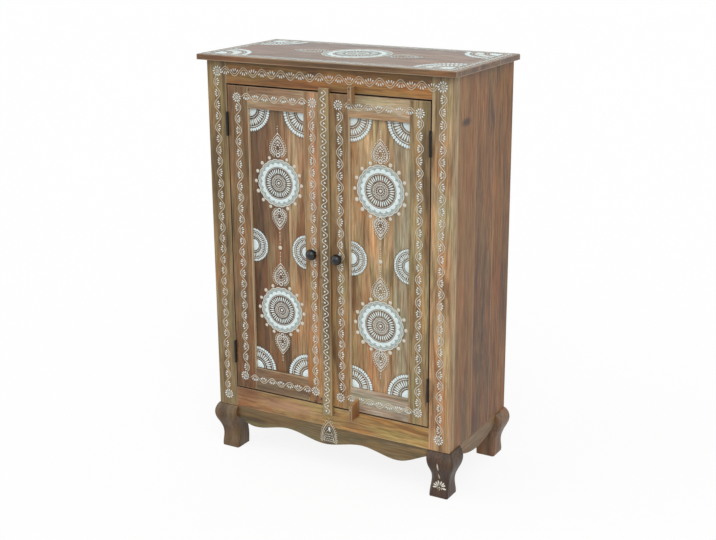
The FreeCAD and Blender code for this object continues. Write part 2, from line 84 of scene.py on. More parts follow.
# %% Adding and filling nodes
def fill(tree, node, values):
    """Give a node its settings and what goes into its inputs."""
    for key, value in values.items():
        if key in ("stops", "steps"):
            node.color_ramp.interpolation = "LINEAR" if key == "stops" else "CONSTANT"
            ramp = node.color_ramp.elements
            for i, (place, colour) in enumerate(value):
                stop = ramp[i] if i < len(ramp) else ramp.new(place)
                stop.position = place
                stop.color = colour
        elif isinstance(key, str) and key.islower():
            setattr(node, key, value)
        elif isinstance(value, bpy.types.Node):
            tree.links.new(value.outputs[0], node.inputs[key])
        elif isinstance(value, bpy.types.NodeSocket):
            tree.links.new(value, node.inputs[key])
        else:
            node.inputs[key].default_value = value
    return node


def add(tree, kind, values=None):
    """Add a node of a kind to a tree."""
    return fill(tree, tree.nodes.new(kind), values or {})


# %% The nodes that come up most
def maths(tree, operation, *terms, clamp=False):
    """Calculate with numbers, sockets and nodes, in the order they are given."""
    return add(tree, "ShaderNodeMath", {"operation": operation, "use_clamp": clamp, **dict(enumerate(terms))})


def vector_maths(tree, operation, *terms):
    """Calculate with vectors, sockets and nodes, in the order they are given."""
    return add(tree, "ShaderNodeVectorMath", {"operation": operation, **dict(enumerate(terms))})


def mixed(tree, share, first, second, blend="MIX"):
    """The colour that a share of the second colour makes of the first."""
    sockets = {0: share, 6: first, 7: second}
    return add(tree, "ShaderNodeMix", {"data_type": "RGBA", "blend_type": blend, **sockets}).outputs[2]


def fade(tree, value, low, high, at_low, at_high):
    """A number that goes from at_low to at_high while the value goes from low to high."""
    return add(tree, "ShaderNodeMapRange", {"From Min": low, "From Max": high, "To Min": at_low,
                                            "To Max": at_high, "Value": value})


def colour_ramp(tree, value, stops, kind="stops"):
    """The colour of a value on a ramp of (place, colour) stops, or of steps without a blend."""
    return add(tree, "ShaderNodeValToRGB", {kind: stops, "Fac": value})


# %% New groups and materials
def new_tree(kind, name, inputs, outputs):
    """A node group with named sockets, and what its inputs give inside it."""
    tree = bpy.data.node_groups.new(name, kind)
    for way, sockets in (("INPUT", inputs), ("OUTPUT", outputs)):
        for label, socket in sockets.items():
            tree.interface.new_socket(name=label, in_out=way, socket_type="NodeSocket" + socket)
    return tree, add(tree, "NodeGroupInput").outputs


def new_material(name):
    """A material, its tree and its shader."""
    material = bpy.data.materials.new(name)
    material.use_nodes = True
    return material, material.node_tree, material.node_tree.nodes["Principled BSDF"]



# %% [markdown]
# ## Camera, floor and light
#
# The camera stands where the photographer stood: to the right of the cabinet and a little above it.
# The light is a white studio: an even sky, one broad soft sun from the front right and a weaker one from
# the left, so that each colour shows about as it is written. The floor is pale. The camera sees it as a
# lit white sheet that only hints at the cabinet's shadow, but as a surface it is a middle grey that
# sends less light back up, so the underside of the cabinet stays in shade.

# %% Camera
camera_place = Vector((1.3177, -2.3000, 1.2272))
camera_aim = Vector((0.0753, -0.1320, 0.4736))
camera_roll = math.radians(-0.373)

camera = bpy.data.objects.new("camera", bpy.data.cameras.new("camera"))
bpy.context.scene.collection.objects.link(camera)
camera.data.sensor_width = 36.0
camera.data.lens = 63.31
camera.location = camera_place
camera.rotation_mode = "QUATERNION"
look = (camera_aim - camera_place).to_track_quat("-Z", "Y")
camera.rotation_quaternion = look @ Quaternion((0, 0, 1), camera_roll)
bpy.context.scene.camera = camera
bpy.context.scene.view_settings.view_transform = "Standard"
print("camera:", round(camera.data.lens, 1), "mm lens,", round(camera_place.length, 2), "m from the origin")

# %% Sky
def seen_directly(tree):
    """One where the camera sees a thing itself, in a mirror or through glass, and 0 elsewhere."""
    ray = add(tree, "ShaderNodeLightPath").outputs
    seen = maths(tree, "MAXIMUM", ray["Is Camera Ray"], ray["Is Glossy Ray"])
    return maths(tree, "MAXIMUM", seen, ray["Is Transmission Ray"])


white = (1, 1, 1, 1)
sky_light, sky_seen = 0.62, 1.0
world = bpy.data.worlds.new("white_studio")
bpy.context.scene.world = world
world.use_nodes = True
tree = world.node_tree
tree.nodes.clear()
strength = fade(tree, seen_directly(tree), 0, 1, sky_light, sky_seen)
sky = add(tree, "ShaderNodeBackground", {"Color": white, "Strength": strength})
add(tree, "ShaderNodeOutputWorld", {"Surface": sky})
print("sky:", sky_light, "as light,", sky_seen, "as seen")


# %% Suns
def sun(name, azimuth, elevation, strength, spread):
    """A soft sun. Azimuth 0 shines on the front, positive comes from the right."""
    lamp = bpy.data.objects.new(name, bpy.data.lights.new(name, "SUN"))
    lamp.data.energy = strength
    lamp.data.angle = math.radians(spread)
    a, e = math.radians(azimuth), math.radians(elevation)
    towards = Vector((math.sin(a) * math.cos(e), -math.cos(a) * math.cos(e), math.sin(e)))
    lamp.rotation_mode = "QUATERNION"
    lamp.rotation_quaternion = towards.to_track_quat("Z", "Y")
    bpy.context.scene.collection.objects.link(lamp)


sun("soft_key", 32, 40, 1.35, 50)
sun("soft_fill", -50, 30, 0.62, 60)
print("suns:", [light.name for light in bpy.data.lights])

# %% Floor
floor_half, floor_drop = 30.0, 0.0002
floor_mesh = bpy.data.meshes.new("floor")
corners = [(x * floor_half, y * floor_half, -floor_drop) for x, y in ((-1, -1), (1, -1), (1, 1), (-1, 1))]
floor_mesh.from_pydata(corners, [], [(0, 1, 2, 3)])
floor = bpy.data.objects.new("floor", floor_mesh)
bpy.context.scene.collection.objects.link(floor)
floor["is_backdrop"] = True

# %% Floor paint
floor_grey, floor_pale, floor_white_share = (0.42, 0.42, 0.42, 1), (0.97, 0.97, 0.97, 1), 0.87
floor_paint, tree, shader = new_material("matt_white_floor")
seen = seen_directly(tree)
fill(tree, shader, {"Roughness": 0.9, "Specular IOR Level": 0.1,
                    "Base Color": mixed(tree, seen, floor_grey, floor_pale)})
glow = add(tree, "ShaderNodeEmission", {"Color": white, "Strength": 1.0})
share = maths(tree, "MULTIPLY", seen, floor_white_share)
sheet = add(tree, "ShaderNodeMixShader", {0: share, 1: shader, 2: glow})
fill(tree, tree.nodes["Material Output"], {"Surface": sheet})
floor_mesh.materials.append(floor_paint)
print("floor paint:", len(tree.nodes), "nodes")

# %% [markdown]
# ## Waxed mango wood
#
# Mango grows fast and spalts easily, so one board runs from honey to olive to dark brown, in long
# streaks that follow the grain. Nothing in it is regular. A picture of wood would show the same figure
# on board after board, so it is made of noise. The figure is built once, as a group whose coordinates
# are millimetres with the grain along X, and every board reads it at another place:
#
# - clouds, about 30 mm wide and 240 mm long, carry the change from pale sapwood to dark heartwood;
# - hues drift from orange to olive over about the same distance;
# - rings, about 8 mm apart round the heart of the log, are bent by the clouds into long arches;
# - streaks, 5 mm wide, are the mineral lines;
# - fibres, drawn 2.6 mm wide although real pores are 0.2 mm, because finer ones wouldn't show;
# - stains are grey-green patches where the wood began to spalt.

# %% The figure of the wood, as a group
figure, given = new_tree("ShaderNodeTree", "mango_figure",
                         {"Grain": "Vector", "Low end": "Color", "High end": "Color", "Travel": "Float",
                          "Edge": "Float", "Contrast": "Float", "Dull": "Float"},
                         {"Colour": "Color", "Roughness": "Float", "Height": "Float"})


def along_grain(width, length, detail, distortion):
    """Noise whose spots are so many millimetres wide and long, in the wood's own coordinates."""
    squeezed = vector_maths(figure, "MULTIPLY", given["Grain"], (1 / length, 1 / width, 1 / width))
    return add(figure, "ShaderNodeTexNoise", {"Scale": 1.0, "Detail": detail, "Roughness": 0.58,
                                              "Distortion": distortion, "Vector": squeezed})


clouds = along_grain(width=30, length=240, detail=4, distortion=0.9)
hues = along_grain(width=24, length=170, detail=3, distortion=0.6)
streaks = along_grain(width=5, length=150, detail=3, distortion=0.35)
fibres = along_grain(width=2.6, length=44, detail=2, distortion=0.0)
stains = along_grain(width=46, length=110, detail=4, distortion=0.7)
print("figure:", len(figure.interface.items_tree), "sockets, 5 patterns along the grain")

# %% Rings bent by the clouds
ring_width, ring_bend = 8.0, 46.0
cross = vector_maths(figure, "MULTIPLY", given["Grain"], (0, 1, 1))
from_heart = vector_maths(figure, "LENGTH", cross).outputs["Value"]
bent = maths(figure, "MULTIPLY_ADD", clouds, ring_bend, from_heart)
turned = maths(figure, "MULTIPLY", bent, 2 * math.pi / ring_width)
rings = maths(figure, "SINE", turned)
print("rings:", ring_width, "mm apart, bent over", ring_bend, "mm")

# %% Colour of the wood
# Each layer multiplies the board's own tone, mostly downward, so the tone starts brighter than written.
headroom = 1.40
wander = fade(figure, stains, 0.35, 0.65, -0.3, 0.3)
travel = maths(figure, "ADD", given["Travel"], wander, clamp=True)
tone = mixed(figure, travel, given["Low end"], given["High end"])
layers = (
    (clouds, ((0.34, (0.34, 0.27, 0.21, 1)), (0.46, (0.66, 0.61, 0.56, 1)), (0.56, (0.80, 0.79, 0.77, 1)),
              (0.68, (1, 1, 1, 1))), 1.0),
    (hues, ((0.36, (1.16, 0.94, 0.74, 1)), (0.50, (1, 1, 1, 1)), (0.64, (0.88, 1.0, 0.90, 1))), 0.9),
    (streaks, ((0.32, (0.58, 0.51, 0.44, 1)), (0.46, (0.92, 0.90, 0.88, 1)), (0.70, (1, 1, 1, 1))), 0.7),
    (rings, ((0.15, (1, 1, 1, 1)), (0.70, (0.92, 0.90, 0.87, 1)), (1.0, (0.74, 0.68, 0.62, 1))), 0.45),
    (fibres, ((0.32, (0.56, 0.52, 0.47, 1)), (0.60, (1, 1, 1, 1))), 0.9),
)
for pattern, stops, share in layers:
    weight = maths(figure, "MULTIPLY", given["Contrast"], share, clamp=True)
    tone = mixed(figure, weight, tone, colour_ramp(figure, pattern, stops), "MULTIPLY")
spalted = fade(figure, stains, 0.60, 0.74, 0.0, 0.42)
tone = mixed(figure, spalted, tone, linear("#5d5545"))
print("colour layers:", len(layers))

# %% Worn edges with a painted highlight, sheen and relief of the wood
# The pale tone lightens the edges: rubbed wear and a painted highlight.
worn_lit_edges = maths(figure, "MULTIPLY", given["Edge"], streaks, clamp=True)
tone = mixed(figure, worn_lit_edges, tone, linear("#b39a7c"))
satin = fade(figure, fibres, 0.3, 0.7, 0.06, -0.08)
satin = maths(figure, "ADD", satin, given["Dull"])
relief = maths(figure, "MULTIPLY_ADD", streaks, 0.6, fibres)
add(figure, "NodeGroupOutput", {"Colour": tone, "Roughness": satin, "Height": relief})
print("wood figure:", len(figure.nodes), "nodes")


# %% [markdown]
# ## One board, one material
#
# A board is sawn from its own place in the log. Each gets its grain direction, a tone for each end and
# its own stretch of the figure, and its edges are a little rubbed and carry a painted highlight: the
# distance to the nearest edge is the middle one of the three distances to the sides of its box. A wide
# panel is glued up from staves, and each stave has its own pair of tones and its own stretch of the log.
# A few boards have a knot. Painted shade darkens the wood along the gaps round the doors, along the edges
# of the panels and under the top, where shade falls. Soft spots of another tone are laid on last: streaks
# of single boards, the wax that stays between the ridges of the paint, and a painted highlight on the
# inner edge of the stile left of each panel.

# %% Rubbed edges with a painted highlight
# The second tone is the painted shade along the gaps round the doors, the edges of the panels and under the
# top.
knot_tone, gap_shade_tone = "#2b1c12", "#3a1f0e"
edge_reach, edge_strength = 2.2 * MM, 1.4
fade_end = 1.1
log_jump = (900, 90, 90)


def away_from(tree, place, middle):
    """How far a place is from a middle, along each axis."""
    return vector_maths(tree, "ABSOLUTE", vector_maths(tree, "SUBTRACT", place, middle))


def edge_wear_and_highlight(tree, place, low, high):
    """Wear and painted highlight: highest at the edges of a board's box, falling to nothing within reach of
    them.
    """
    inside = vector_maths(tree, "SUBTRACT", (high - low) / 2, away_from(tree, place, (low + high) / 2))
    x, y, z = add(tree, "ShaderNodeSeparateXYZ", {0: inside}).outputs
    nearer = maths(tree, "MINIMUM", x, y)
    further = maths(tree, "MAXIMUM", x, y)
    middle = maths(tree, "MAXIMUM", nearer, maths(tree, "MINIMUM", further, z))
    return fade(tree, middle, 0, edge_reach, edge_strength, 0)


# %% Soft spots and painted shade along gaps
def spotted(tree, place, colour, spots, core=0.35, share=0.85, spot_tone=knot_tone):
    """Colour with soft spots of another tone, each given by its middle and its half sizes in metres.

    A spot keeps its full share out to the core, a part of the half sizes, and is gone just past them.
    """
    for middle, half in spots:
        away = vector_maths(tree, "SUBTRACT", place, middle)
        away = vector_maths(tree, "MULTIPLY", away, [1 / h if h else 0 for h in half])
        reach = vector_maths(tree, "LENGTH", away).outputs["Value"]
        colour = mixed(tree, fade(tree, reach, core, fade_end, share, 0), colour, linear(spot_tone))
    return colour


def shaded_along_gaps(tree, place, colour, shaded_gaps):
    """Colour with painted shade along the outlines of upright rectangles, within a reach of each."""
    for left, right, low, high, reach, share in shaded_gaps:
        away = away_from(tree, place, Vector(((left + right) / 2, 0, (low + high) / 2)))
        away = vector_maths(tree, "SUBTRACT", away, ((right - left) / 2, 0, (high - low) / 2))
        x, _, z = add(tree, "ShaderNodeSeparateXYZ", {0: away}).outputs
        near = maths(tree, "ABSOLUTE", maths(tree, "MAXIMUM", x, z))
        dark = fade(tree, near, reach * 0.35, reach, share, 0)
        colour = mixed(tree, dark, colour, linear(gap_shade_tone))
    return colour


# %% Wood of one board
def waxed_mango(node_name, along, staves, contrast, worn_lit_edges=True, dull=0.5, knots=(), shaded_gaps=()):
    """Planed and waxed mango: a brown satin surface with grain that runs along one axis of the board."""
    low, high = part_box(node_name)
    dice = random.Random(node_name)
    material, tree, shader = new_material("waxed_mango_" + node_name)
    place = add(tree, "ShaderNodeTexCoord").outputs["Object"]
    turn = ((0, 0, 0), (0, 0, -math.pi / 2), (0, math.pi / 2, 0))[along]
    middle = Matrix.Rotation(turn[1], 4, "Y") @ Matrix.Rotation(turn[2], 4, "Z") @ ((low + high) / 2)
    heart = Vector((dice.uniform(1, 60), dice.uniform(-0.02, 0.02), dice.uniform(0.03, 0.07)))
    grain = add(tree, "ShaderNodeMapping", {"Rotation": turn, "Scale": [1 / MM] * 3,
                                            "Location": (heart - middle) / MM, "Vector": place})
    axes = add(tree, "ShaderNodeSeparateXYZ", {0: place}).outputs
    travel = fade(tree, axes[along], low[along], high[along], 0, 1)
    wood = add(tree, "ShaderNodeGroup", {"node_tree": figure, "Low end": linear(staves[0][1], headroom),
                                         "High end": linear(staves[0][2], headroom),
                                         "Contrast": contrast, "Dull": dull, "Travel": travel})
    if len(staves) > 1:
        across = Y if along == X else X
        share = fade(tree, axes[across], low[across], high[across], 0, 1)
        for socket, column in (("Low end", 1), ("High end", 2)):
            tones = [(stave[0], linear(stave[column], headroom)) for stave in staves]
            fill(tree, wood, {socket: colour_ramp(tree, share, tones, "steps")})
        jumps = [(stave[0], [*[dice.uniform(0, 1) for _ in range(3)], 1]) for stave in staves]
        grain = vector_maths(tree, "MULTIPLY_ADD", colour_ramp(tree, share, jumps, "steps"), log_jump, grain)
    fill(tree, wood, {"Grain": grain})
    if worn_lit_edges:
        fill(tree, wood, {"Edge": edge_wear_and_highlight(tree, place, low, high)})
    bump = add(tree, "ShaderNodeBump",
               {"Strength": 0.5, "Distance": 0.25 * MM, "Height": wood.outputs["Height"]})
    # Knots are the wood's own; along the given gaps the colour gets painted shade.
    colour = shaded_along_gaps(tree, place, spotted(tree, place, wood.outputs["Colour"], knots), shaded_gaps)
    fill(tree, shader, {"Base Color": colour, "Roughness": wood.outputs["Roughness"], "Normal": bump})
    return material


# %% Dressing, staining and painted highlights
def dress(node_name, material):
    """Give a CAD node its finish."""
    slots = nodes[node_name].data.materials
    slots.clear()
    slots.append(material)


def stain_and_highlight(node_name, spots, core, share, spot_tone, depth=4.0):
    """Add soft spots, stains and painted highlights, to the front of dressed wood, each as (x, z, half width,
    half height) in millimetres.
    """
    tree = nodes[node_name].data.materials[0].node_tree
    base = tree.nodes["Principled BSDF"].inputs["Base Color"]
    place = add(tree, "ShaderNodeTexCoord").outputs["Object"]
    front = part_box(node_name)[0].y
    placed = []
    for x, z, half_x, half_z in spots:
        placed.append((Vector((x * MM, front, z * MM)), Vector((half_x, depth, half_z)) * MM))
    tree.links.new(spotted(tree, place, base.links[0].from_socket, placed, core, share, spot_tone), base)


# %% [markdown]
# ## The tones of the boards
#
# The left half of the cabinet is olive and brown, the right half is paler and pinker, the right front
# leg is very dark, and the sides are a quiet grey-brown. Each line gives the way the grain runs, the tone
# at the low end and the tone at the high end of that axis, and how strong the figure is. Knots are given
# by their middles and half sizes in millimetres.

# %% Tones and grain of every board
boards = {
    "top_front_board": (X, "#755435", "#805e3c", 1.3),
    "top_middle_board": (X, "#745037", "#7f5e3b", 1.3),
    "top_rear_board": (X, "#6a4f3c", "#7a5e49", 1.2),
    "side_left_front_board": (Z, "#80624a", "#8a6c50", 0.7),
    "side_left_middle_board": (Z, "#74583f", "#846a50", 0.7),
    "side_left_rear_board": (Z, "#7c5c40", "#845f3c", 0.8),
    "side_right_front_board": (Z, "#835f36", "#966e45", 0.7),
    "side_right_middle_board": (Z, "#6d4929", "#9d7345", 1.05),
    "side_right_rear_board": (Z, "#875d30", "#936429", 1.05),
    "frame_left_stile": (Z, "#8c7957", "#978056", 1.0),
    "frame_right_stile": (Z, "#c8a27b", "#bfaa87", 1.0),
    "frame_top_rail": (X, "#8e6b3a", "#a37844", 1.3),
    "frame_bottom_rail": (X, "#986f4e", "#c9ad71", 1.2),
    "left_door_hinge_stile": (Z, "#85633f", "#907452", 1.1),
    "left_door_meeting_stile": (Z, "#a68154", "#b58f6f", 1.0),
    "left_door_top_rail": (X, "#b0967a", "#b0957a", 0.9),
    "left_door_bottom_rail": (X, "#7d644d", "#978468", 1.0),
    "right_door_hinge_stile": (Z, "#a89772", "#a28e69", 1.2),
    "right_door_meeting_stile": (Z, "#a98f66", "#a38864", 1.0),
    "right_door_top_rail": (X, "#b39f82", "#b59f82", 0.9),
    "right_door_bottom_rail": (X, "#b8ab9c", "#c0b6aa", 1.1),
    "centre_strip": (Z, "#968b6c", "#968460", 0.9),
    "upper_stop_block": (Z, "#a58663", "#a58663", 0.7),
    "lower_stop_block": (Z, "#8a6040", "#a08058", 0.7),
    "apron_front": (X, "#6e6140", "#76674a", 0.9),
    "apron_left": (Y, "#6e6140", "#76674a", 0.9),
    "apron_right": (Y, "#806647", "#8b7150", 0.9),
    "leg_front_left": (Z, "#6a563c", "#6a563c", 1.0),
    "leg_front_right": (Z, "#4b3628", "#533d29", 1.1),
    "leg_rear_left": (Z, "#6f5a44", "#75604a", 1.0),
    "leg_rear_right": (Z, "#7d5f45", "#80634a", 0.9),
    "shelf_cleats": (Y, "#947b60", "#947b60", 0.7),
    "top_battens": (Y, "#947b60", "#947b60", 0.7),
    "catch_rail": (X, "#947b60", "#947b60", 0.7),
    "rear_rail": (X, "#806a50", "#806a50", 0.8),
    "corner_blocks": (Z, "#947b60", "#947b60", 0.7),
    "glue_blocks": (Y, "#947b60", "#947b60", 0.7),
}
no_box = ("apron", "leg", "corner", "glue", "cleats", "battens")
knots = {
    "centre_strip": ((-9.5, 0, 447), (2.2, 0, 3.5)),
    "left_door_bottom_rail": ((-102, 0, 190), (3.5, 0, 2.6)),
    "left_door_top_rail": ((-186, 0, 829), (3.0, 0, 3.5)),
    "upper_stop_block": ((66, 0, 850), (2.6, 0, 2.6)),
    "side_right_front_board": ((0, -76, 792), (0, 26, 10)),
}
opening_low, opening_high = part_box("frame_bottom_rail")[1].z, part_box("frame_top_rail")[0].z
opening_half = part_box("frame_right_stile")[0].x
top_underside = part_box("top_front_board")[0].z
# Painted shade darkens the wood within reach of the gaps round the doors and under the overhang of the top.
shade_inset = 1.5 * MM
door_gap_shade = (shade_inset - opening_half, opening_half - shade_inset, opening_low + shade_inset,
            opening_high - shade_inset, 2.9 * MM, 0.65)
far_off = 1.0
shade_under_top = (-far_off, far_off, -far_off, top_underside, 5.0 * MM, 0.75)
for name, (along, low_tone, high_tone, contrast) in boards.items():
    boxed = not any(word in name for word in no_box)
    dull = 0.36 if name.startswith("top_") else 0.5
    spots = [[Vector(numbers) * MM for numbers in knots[name]]] if name in knots else []
    shaded_gaps = [door_gap_shade] if name.startswith("frame_") or "_door_" in name else []
    if name.startswith(("frame_", "side_")):
        shaded_gaps.append(shade_under_top)
    dress(name, waxed_mango(name, along, ((0, low_tone, high_tone),), contrast, boxed, dull, spots, shaded_gaps))

# %% Streaks and spots of single boards
stain_and_highlight("frame_bottom_rail", [(-214, 141, 36, 14)], 0.3, 0.5, "#71421f")
stain_and_highlight("frame_bottom_rail", [(-105, 130, 90, 15)], 0.2, 0.5, "#cda281")
stain_and_highlight("left_door_bottom_rail", [(-150, 164, 120, 12)], 0.3, 0.5, "#4a3322")
stain_and_highlight("left_door_meeting_stile", [(-50, 228, 11, 42)], 0.3, 0.6, "#b0661c")
stain_and_highlight("left_door_meeting_stile", [(-45, 180, 16, 26), (-25, 164, 16, 9)], 0.3, 0.6, "#5e2a14")
small_knots = [(-50, 168, 3.0, 3.0), (-27.6, 170.6, 3.0, 3.4), (-33, 158.5, 5, 3), (-18.5, 167, 3, 4)]
stain_and_highlight("left_door_meeting_stile", small_knots, 0.4, 0.85, "#26120a")
print("single boards:", len(knots), "knots,", len(small_knots), "small ones")

# %% Panels glued up from staves
def even_staves(count, low_tone, high_tone):
    """So many staves of one width with the same pair of tones."""
    return [(i / count, low_tone, high_tone) for i in range(count)]


left_staves = ((0, "#75502f", "#7b624b"), (0.27, "#886845", "#8a7056"), (0.66, "#c2a37c", "#bc9f80"))
right_staves = ((0, "#b5906a", "#ccb18a"), (0.33, "#bd9b78", "#d2bb94"), (0.70, "#b6aa90", "#b2ab94"))
glued = {
    "left_door_panel": (Z, left_staves, 1.1),
    "right_door_panel": (Z, right_staves, 1.1),
    "back_panel": (Z, even_staves(7, "#9b8467", "#a18a6c"), 0.8),
    "bottom_board": (X, even_staves(4, "#947b60", "#947b60"), 0.8),
    "lower_shelf": (X, even_staves(4, "#9c8467", "#9c8467"), 0.8),
    "upper_shelf": (X, even_staves(4, "#9c8467", "#947b60"), 0.8),
}
in_groove = 7 * MM
for name, (along, staves, contrast) in glued.items():
    shaded_gaps = []
    # Painted shade along the visible edges of a door panel, inside its rails and stiles.
    if name.endswith("_door_panel"):
        low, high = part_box(name)
        shaded_gaps.append((low.x + in_groove, high.x - in_groove, low.z + in_groove, high.z - in_groove,
                     2.2 * MM, 0.3))
    dress(name, waxed_mango(name, along, staves, contrast, shaded_gaps=shaded_gaps))
print("wood:", len(boards), "boards and", len(glued), "glued panels")

# %% [markdown]
# ## Iron, lacquer, zinc and plastic
#
# The hinges are mild steel blackened in oil: nearly black, satin, with faint cloudy patches. The knobs
# are turned wood under gloss black lacquer. Screws and nails are zinc plated, a cool grey metal whose
# plating is slightly mottled. The catches are moulded brown ABS with a fine moulded grain. A flat colour
# would look like a toy, so each finish drifts between two tones and two degrees of gloss.

# %% Metals and lacquer
def mottled(name, dark, pale, metallic, rough_low, rough_high, spot, bump=0.0):
    """A finish whose tone and roughness drift in spots of so many millimetres."""
    material, tree, shader = new_material(name)
    place = add(tree, "ShaderNodeTexCoord").outputs["Object"]
    drift = add(tree, "ShaderNodeTexNoise", {"Scale": 1 / (spot * MM), "Detail": 3.0, "Vector": place})
    low, high = 0.35, 0.65
    colour = colour_ramp(tree, drift, ((low, linear(dark)), (high, linear(pale))))
    rough = fade(tree, drift, low, high, rough_low, rough_high)
    fill(tree, shader, {"Metallic": metallic, "Base Color": colour, "Roughness": rough})
    if bump:
        lifted = add(tree, "ShaderNodeBump", {"Strength": 0.4, "Distance": bump * MM, "Height": drift})
        fill(tree, shader, {"Normal": lifted})
    return material


black_iron = mottled("blackened_mild_steel", "#0c0b0b", "#1c1a18", 0.3, 0.45, 0.6, spot=6)
black_lacquer = mottled("gloss_black_lacquer_on_turned_wood", "#060607", "#101114", 0.0, 0.12, 0.24, spot=9)
zinc_plate = mottled("zinc_plated_steel", "#8f918f", "#b4b5b0", 1.0, 0.30, 0.45, spot=2)
brown_abs = mottled("moulded_brown_abs", "#46301f", "#503824", 0.0, 0.45, 0.55, spot=0.8, bump=0.05)
metal_nodes = {
    black_iron: ("frame_hinge_leaves", "hinge_pins", "frame_hinge_screws", "left_door_hinge_leaves",
                 "left_door_screws", "right_door_hinge_leaves", "right_door_screws"),
    black_lacquer: ("left_door_knob", "right_door_knob"),
    zinc_plate: ("left_door_knob_screw", "right_door_knob_screw", "left_door_strike_plate",
                 "right_door_strike_plate", "centre_strip_nails", "stop_block_nails", "carcass_screws"),
    brown_abs: ("magnetic_catches",),
}
for material, names in metal_nodes.items():
    for name in names:
        dress(name, material)
print("metal and plastic:", sum(len(names) for names in metal_nodes.values()), "nodes")

# %% [markdown]
# ## The paint
#
# The paint is a thick water-based relief paint, matt and chalky. Where the painter floods an area it is
# a cool bluish white. A thin line lets the brown wax bleed through and dries a warm cream. Each stroke
# therefore carries a number, its load, from 0 for the thinnest line to 1 for a flooded area, and the
# material reads it. Past 1 lies the thin grey-blue wash that surrounds the big rosettes. A second number,
# flank, is 1 where the paint's surface stands upright and 0 where it lies flat, and the steep sides of
# every ridge are darkened by it: painted shade, and the brown wax that was rubbed over the finished paint
# and stays at the foot of every ridge.

# %% Relief paint
wash_load = 1.25
load_tones = ((0.0, "#cfc0a6"), (0.4, "#e9e6db"), (0.8, "#e6f5f6"), (1.0, "#a6b4b0"))
mottle_tones = ((0.3, (0.86, 0.84, 0.82, 1)), (0.6, white))
flank_shade_share, flank_shade_tone = 0.8, "#4b3a28"
relief_paint, tree, shader = new_material("matt_relief_paint")
load = add(tree, "ShaderNodeAttribute", {"attribute_name": "load"}).outputs["Fac"]
flank = add(tree, "ShaderNodeAttribute", {"attribute_name": "flank"}).outputs["Fac"]
place = add(tree, "ShaderNodeTexCoord").outputs["Object"]
chalk = add(tree, "ShaderNodeTexNoise", {"Scale": 1 / (3 * MM), "Detail": 3.0, "Vector": place})
full = maths(tree, "DIVIDE", load, wash_load)
thin_to_thick = colour_ramp(tree, full, [(share, linear(tone)) for share, tone in load_tones])
painted = mixed(tree, 1.0, thin_to_thick, colour_ramp(tree, chalk, mottle_tones), "MULTIPLY")
# The steep sides of each ridge darken: painted shade, and the wax at their foot.
painted = mixed(tree, maths(tree, "MULTIPLY", flank, flank_shade_share), painted, linear(flank_shade_tone))
bump = add(tree, "ShaderNodeBump", {"Strength": 0.3, "Distance": 0.1 * MM, "Height": chalk})
fill(tree, shader, {"Roughness": 0.7, "Specular IOR Level": 0.3, "Base Color": painted, "Normal": bump})
print("relief paint:", len(tree.nodes), "nodes")

# %% [markdown]
# ## Three gestures
#
# Everything the painter does is one of three gestures: a drawn line, a dab that is pressed and pulled
# away to a point, and an area flooded with paint. A bump in the wood's material could draw them too, but
# it casts no shadow and is lost in the mesh. Lines and dabs repeat thousands of times, so each is a
# Geometry Nodes tree. The line tree sweeps a six-sided section along drawn paths and flattens it to a
# ridge. The dab tree puts one small dome on every point, turned and stretched by what the point says,
# and no dome rises higher than thick paint can stand.


# %% Tree for drawn lines
def send_out(tree, shape, given):
    """Make a tree's shape real, give it its paint and send it out."""
    shape = add(tree, "GeometryNodeRealizeInstances", {"Geometry": shape})
    shape = add(tree, "GeometryNodeSetMaterial", {"Geometry": shape, "Material": given["Paint"]})
    add(tree, "NodeGroupOutput", {"Geometry": shape})


line_tree, given = new_tree("GeometryNodeTree", "drawn_lines",
                            {"Geometry": "Geometry", "Rise": "Float", "Sink": "Float", "Paint": "Material"},
                            {"Geometry": "Geometry"})
path = add(line_tree, "GeometryNodeMeshToCurve", {"Mesh": given["Geometry"]})
path = add(line_tree, "GeometryNodeSetCurveNormal", {"mode": "Z_UP", "Curve": path})
section = add(line_tree, "GeometryNodeCurvePrimitiveCircle", {"Resolution": 6, "Radius": 1.0})
half_width = add(line_tree, "GeometryNodeInputNamedAttribute", {"data_type": "FLOAT", "Name": "half_width"})
ridge = add(line_tree, "GeometryNodeCurveToMesh",
            {"Fill Caps": True, "Curve": path, "Profile Curve": section, "Scale": half_width})
position = add(line_tree, "GeometryNodeInputPosition")
x, y, z = add(line_tree, "ShaderNodeSeparateXYZ", {0: position}).outputs
flat = maths(line_tree, "MULTIPLY", z, given["Rise"])
base = maths(line_tree, "MAXIMUM", flat, given["Sink"])
place = add(line_tree, "ShaderNodeCombineXYZ", {0: x, 1: y, 2: base})
ridge = add(line_tree, "GeometryNodeSetPosition", {"Geometry": ridge, "Position": place})
send_out(line_tree, ridge, given)
print("tree for lines:", len(line_tree.nodes), "nodes")

# %% Tree for dabs
dab_tree, given = new_tree("GeometryNodeTree", "pressed_dabs",
                           {"Geometry": "Geometry", "Dome": "Object", "Rise": "Float",
                            "Highest": "Float", "Paint": "Material"},
                           {"Geometry": "Geometry"})
turn, long, wide = [add(dab_tree, "GeometryNodeInputNamedAttribute", {"data_type": "FLOAT", "Name": name})
                    for name in ("turn", "long", "wide")]
high = maths(dab_tree, "MULTIPLY", wide, given["Rise"])
high = maths(dab_tree, "MINIMUM", high, given["Highest"])
size = add(dab_tree, "ShaderNodeCombineXYZ", {0: long, 1: wide, 2: high})
spin = add(dab_tree, "FunctionNodeAxisAngleToRotation", {"Axis": (0, 0, 1), "Angle": turn})
dome = add(dab_tree, "GeometryNodeObjectInfo", {"Object": given["Dome"]}).outputs["Geometry"]
dabs = add(dab_tree, "GeometryNodeInstanceOnPoints",
           {"Points": given["Geometry"], "Instance": dome, "Rotation": spin, "Scale": size})
send_out(dab_tree, dabs, given)
print("tree for dabs:", len(dab_tree.nodes), "nodes")


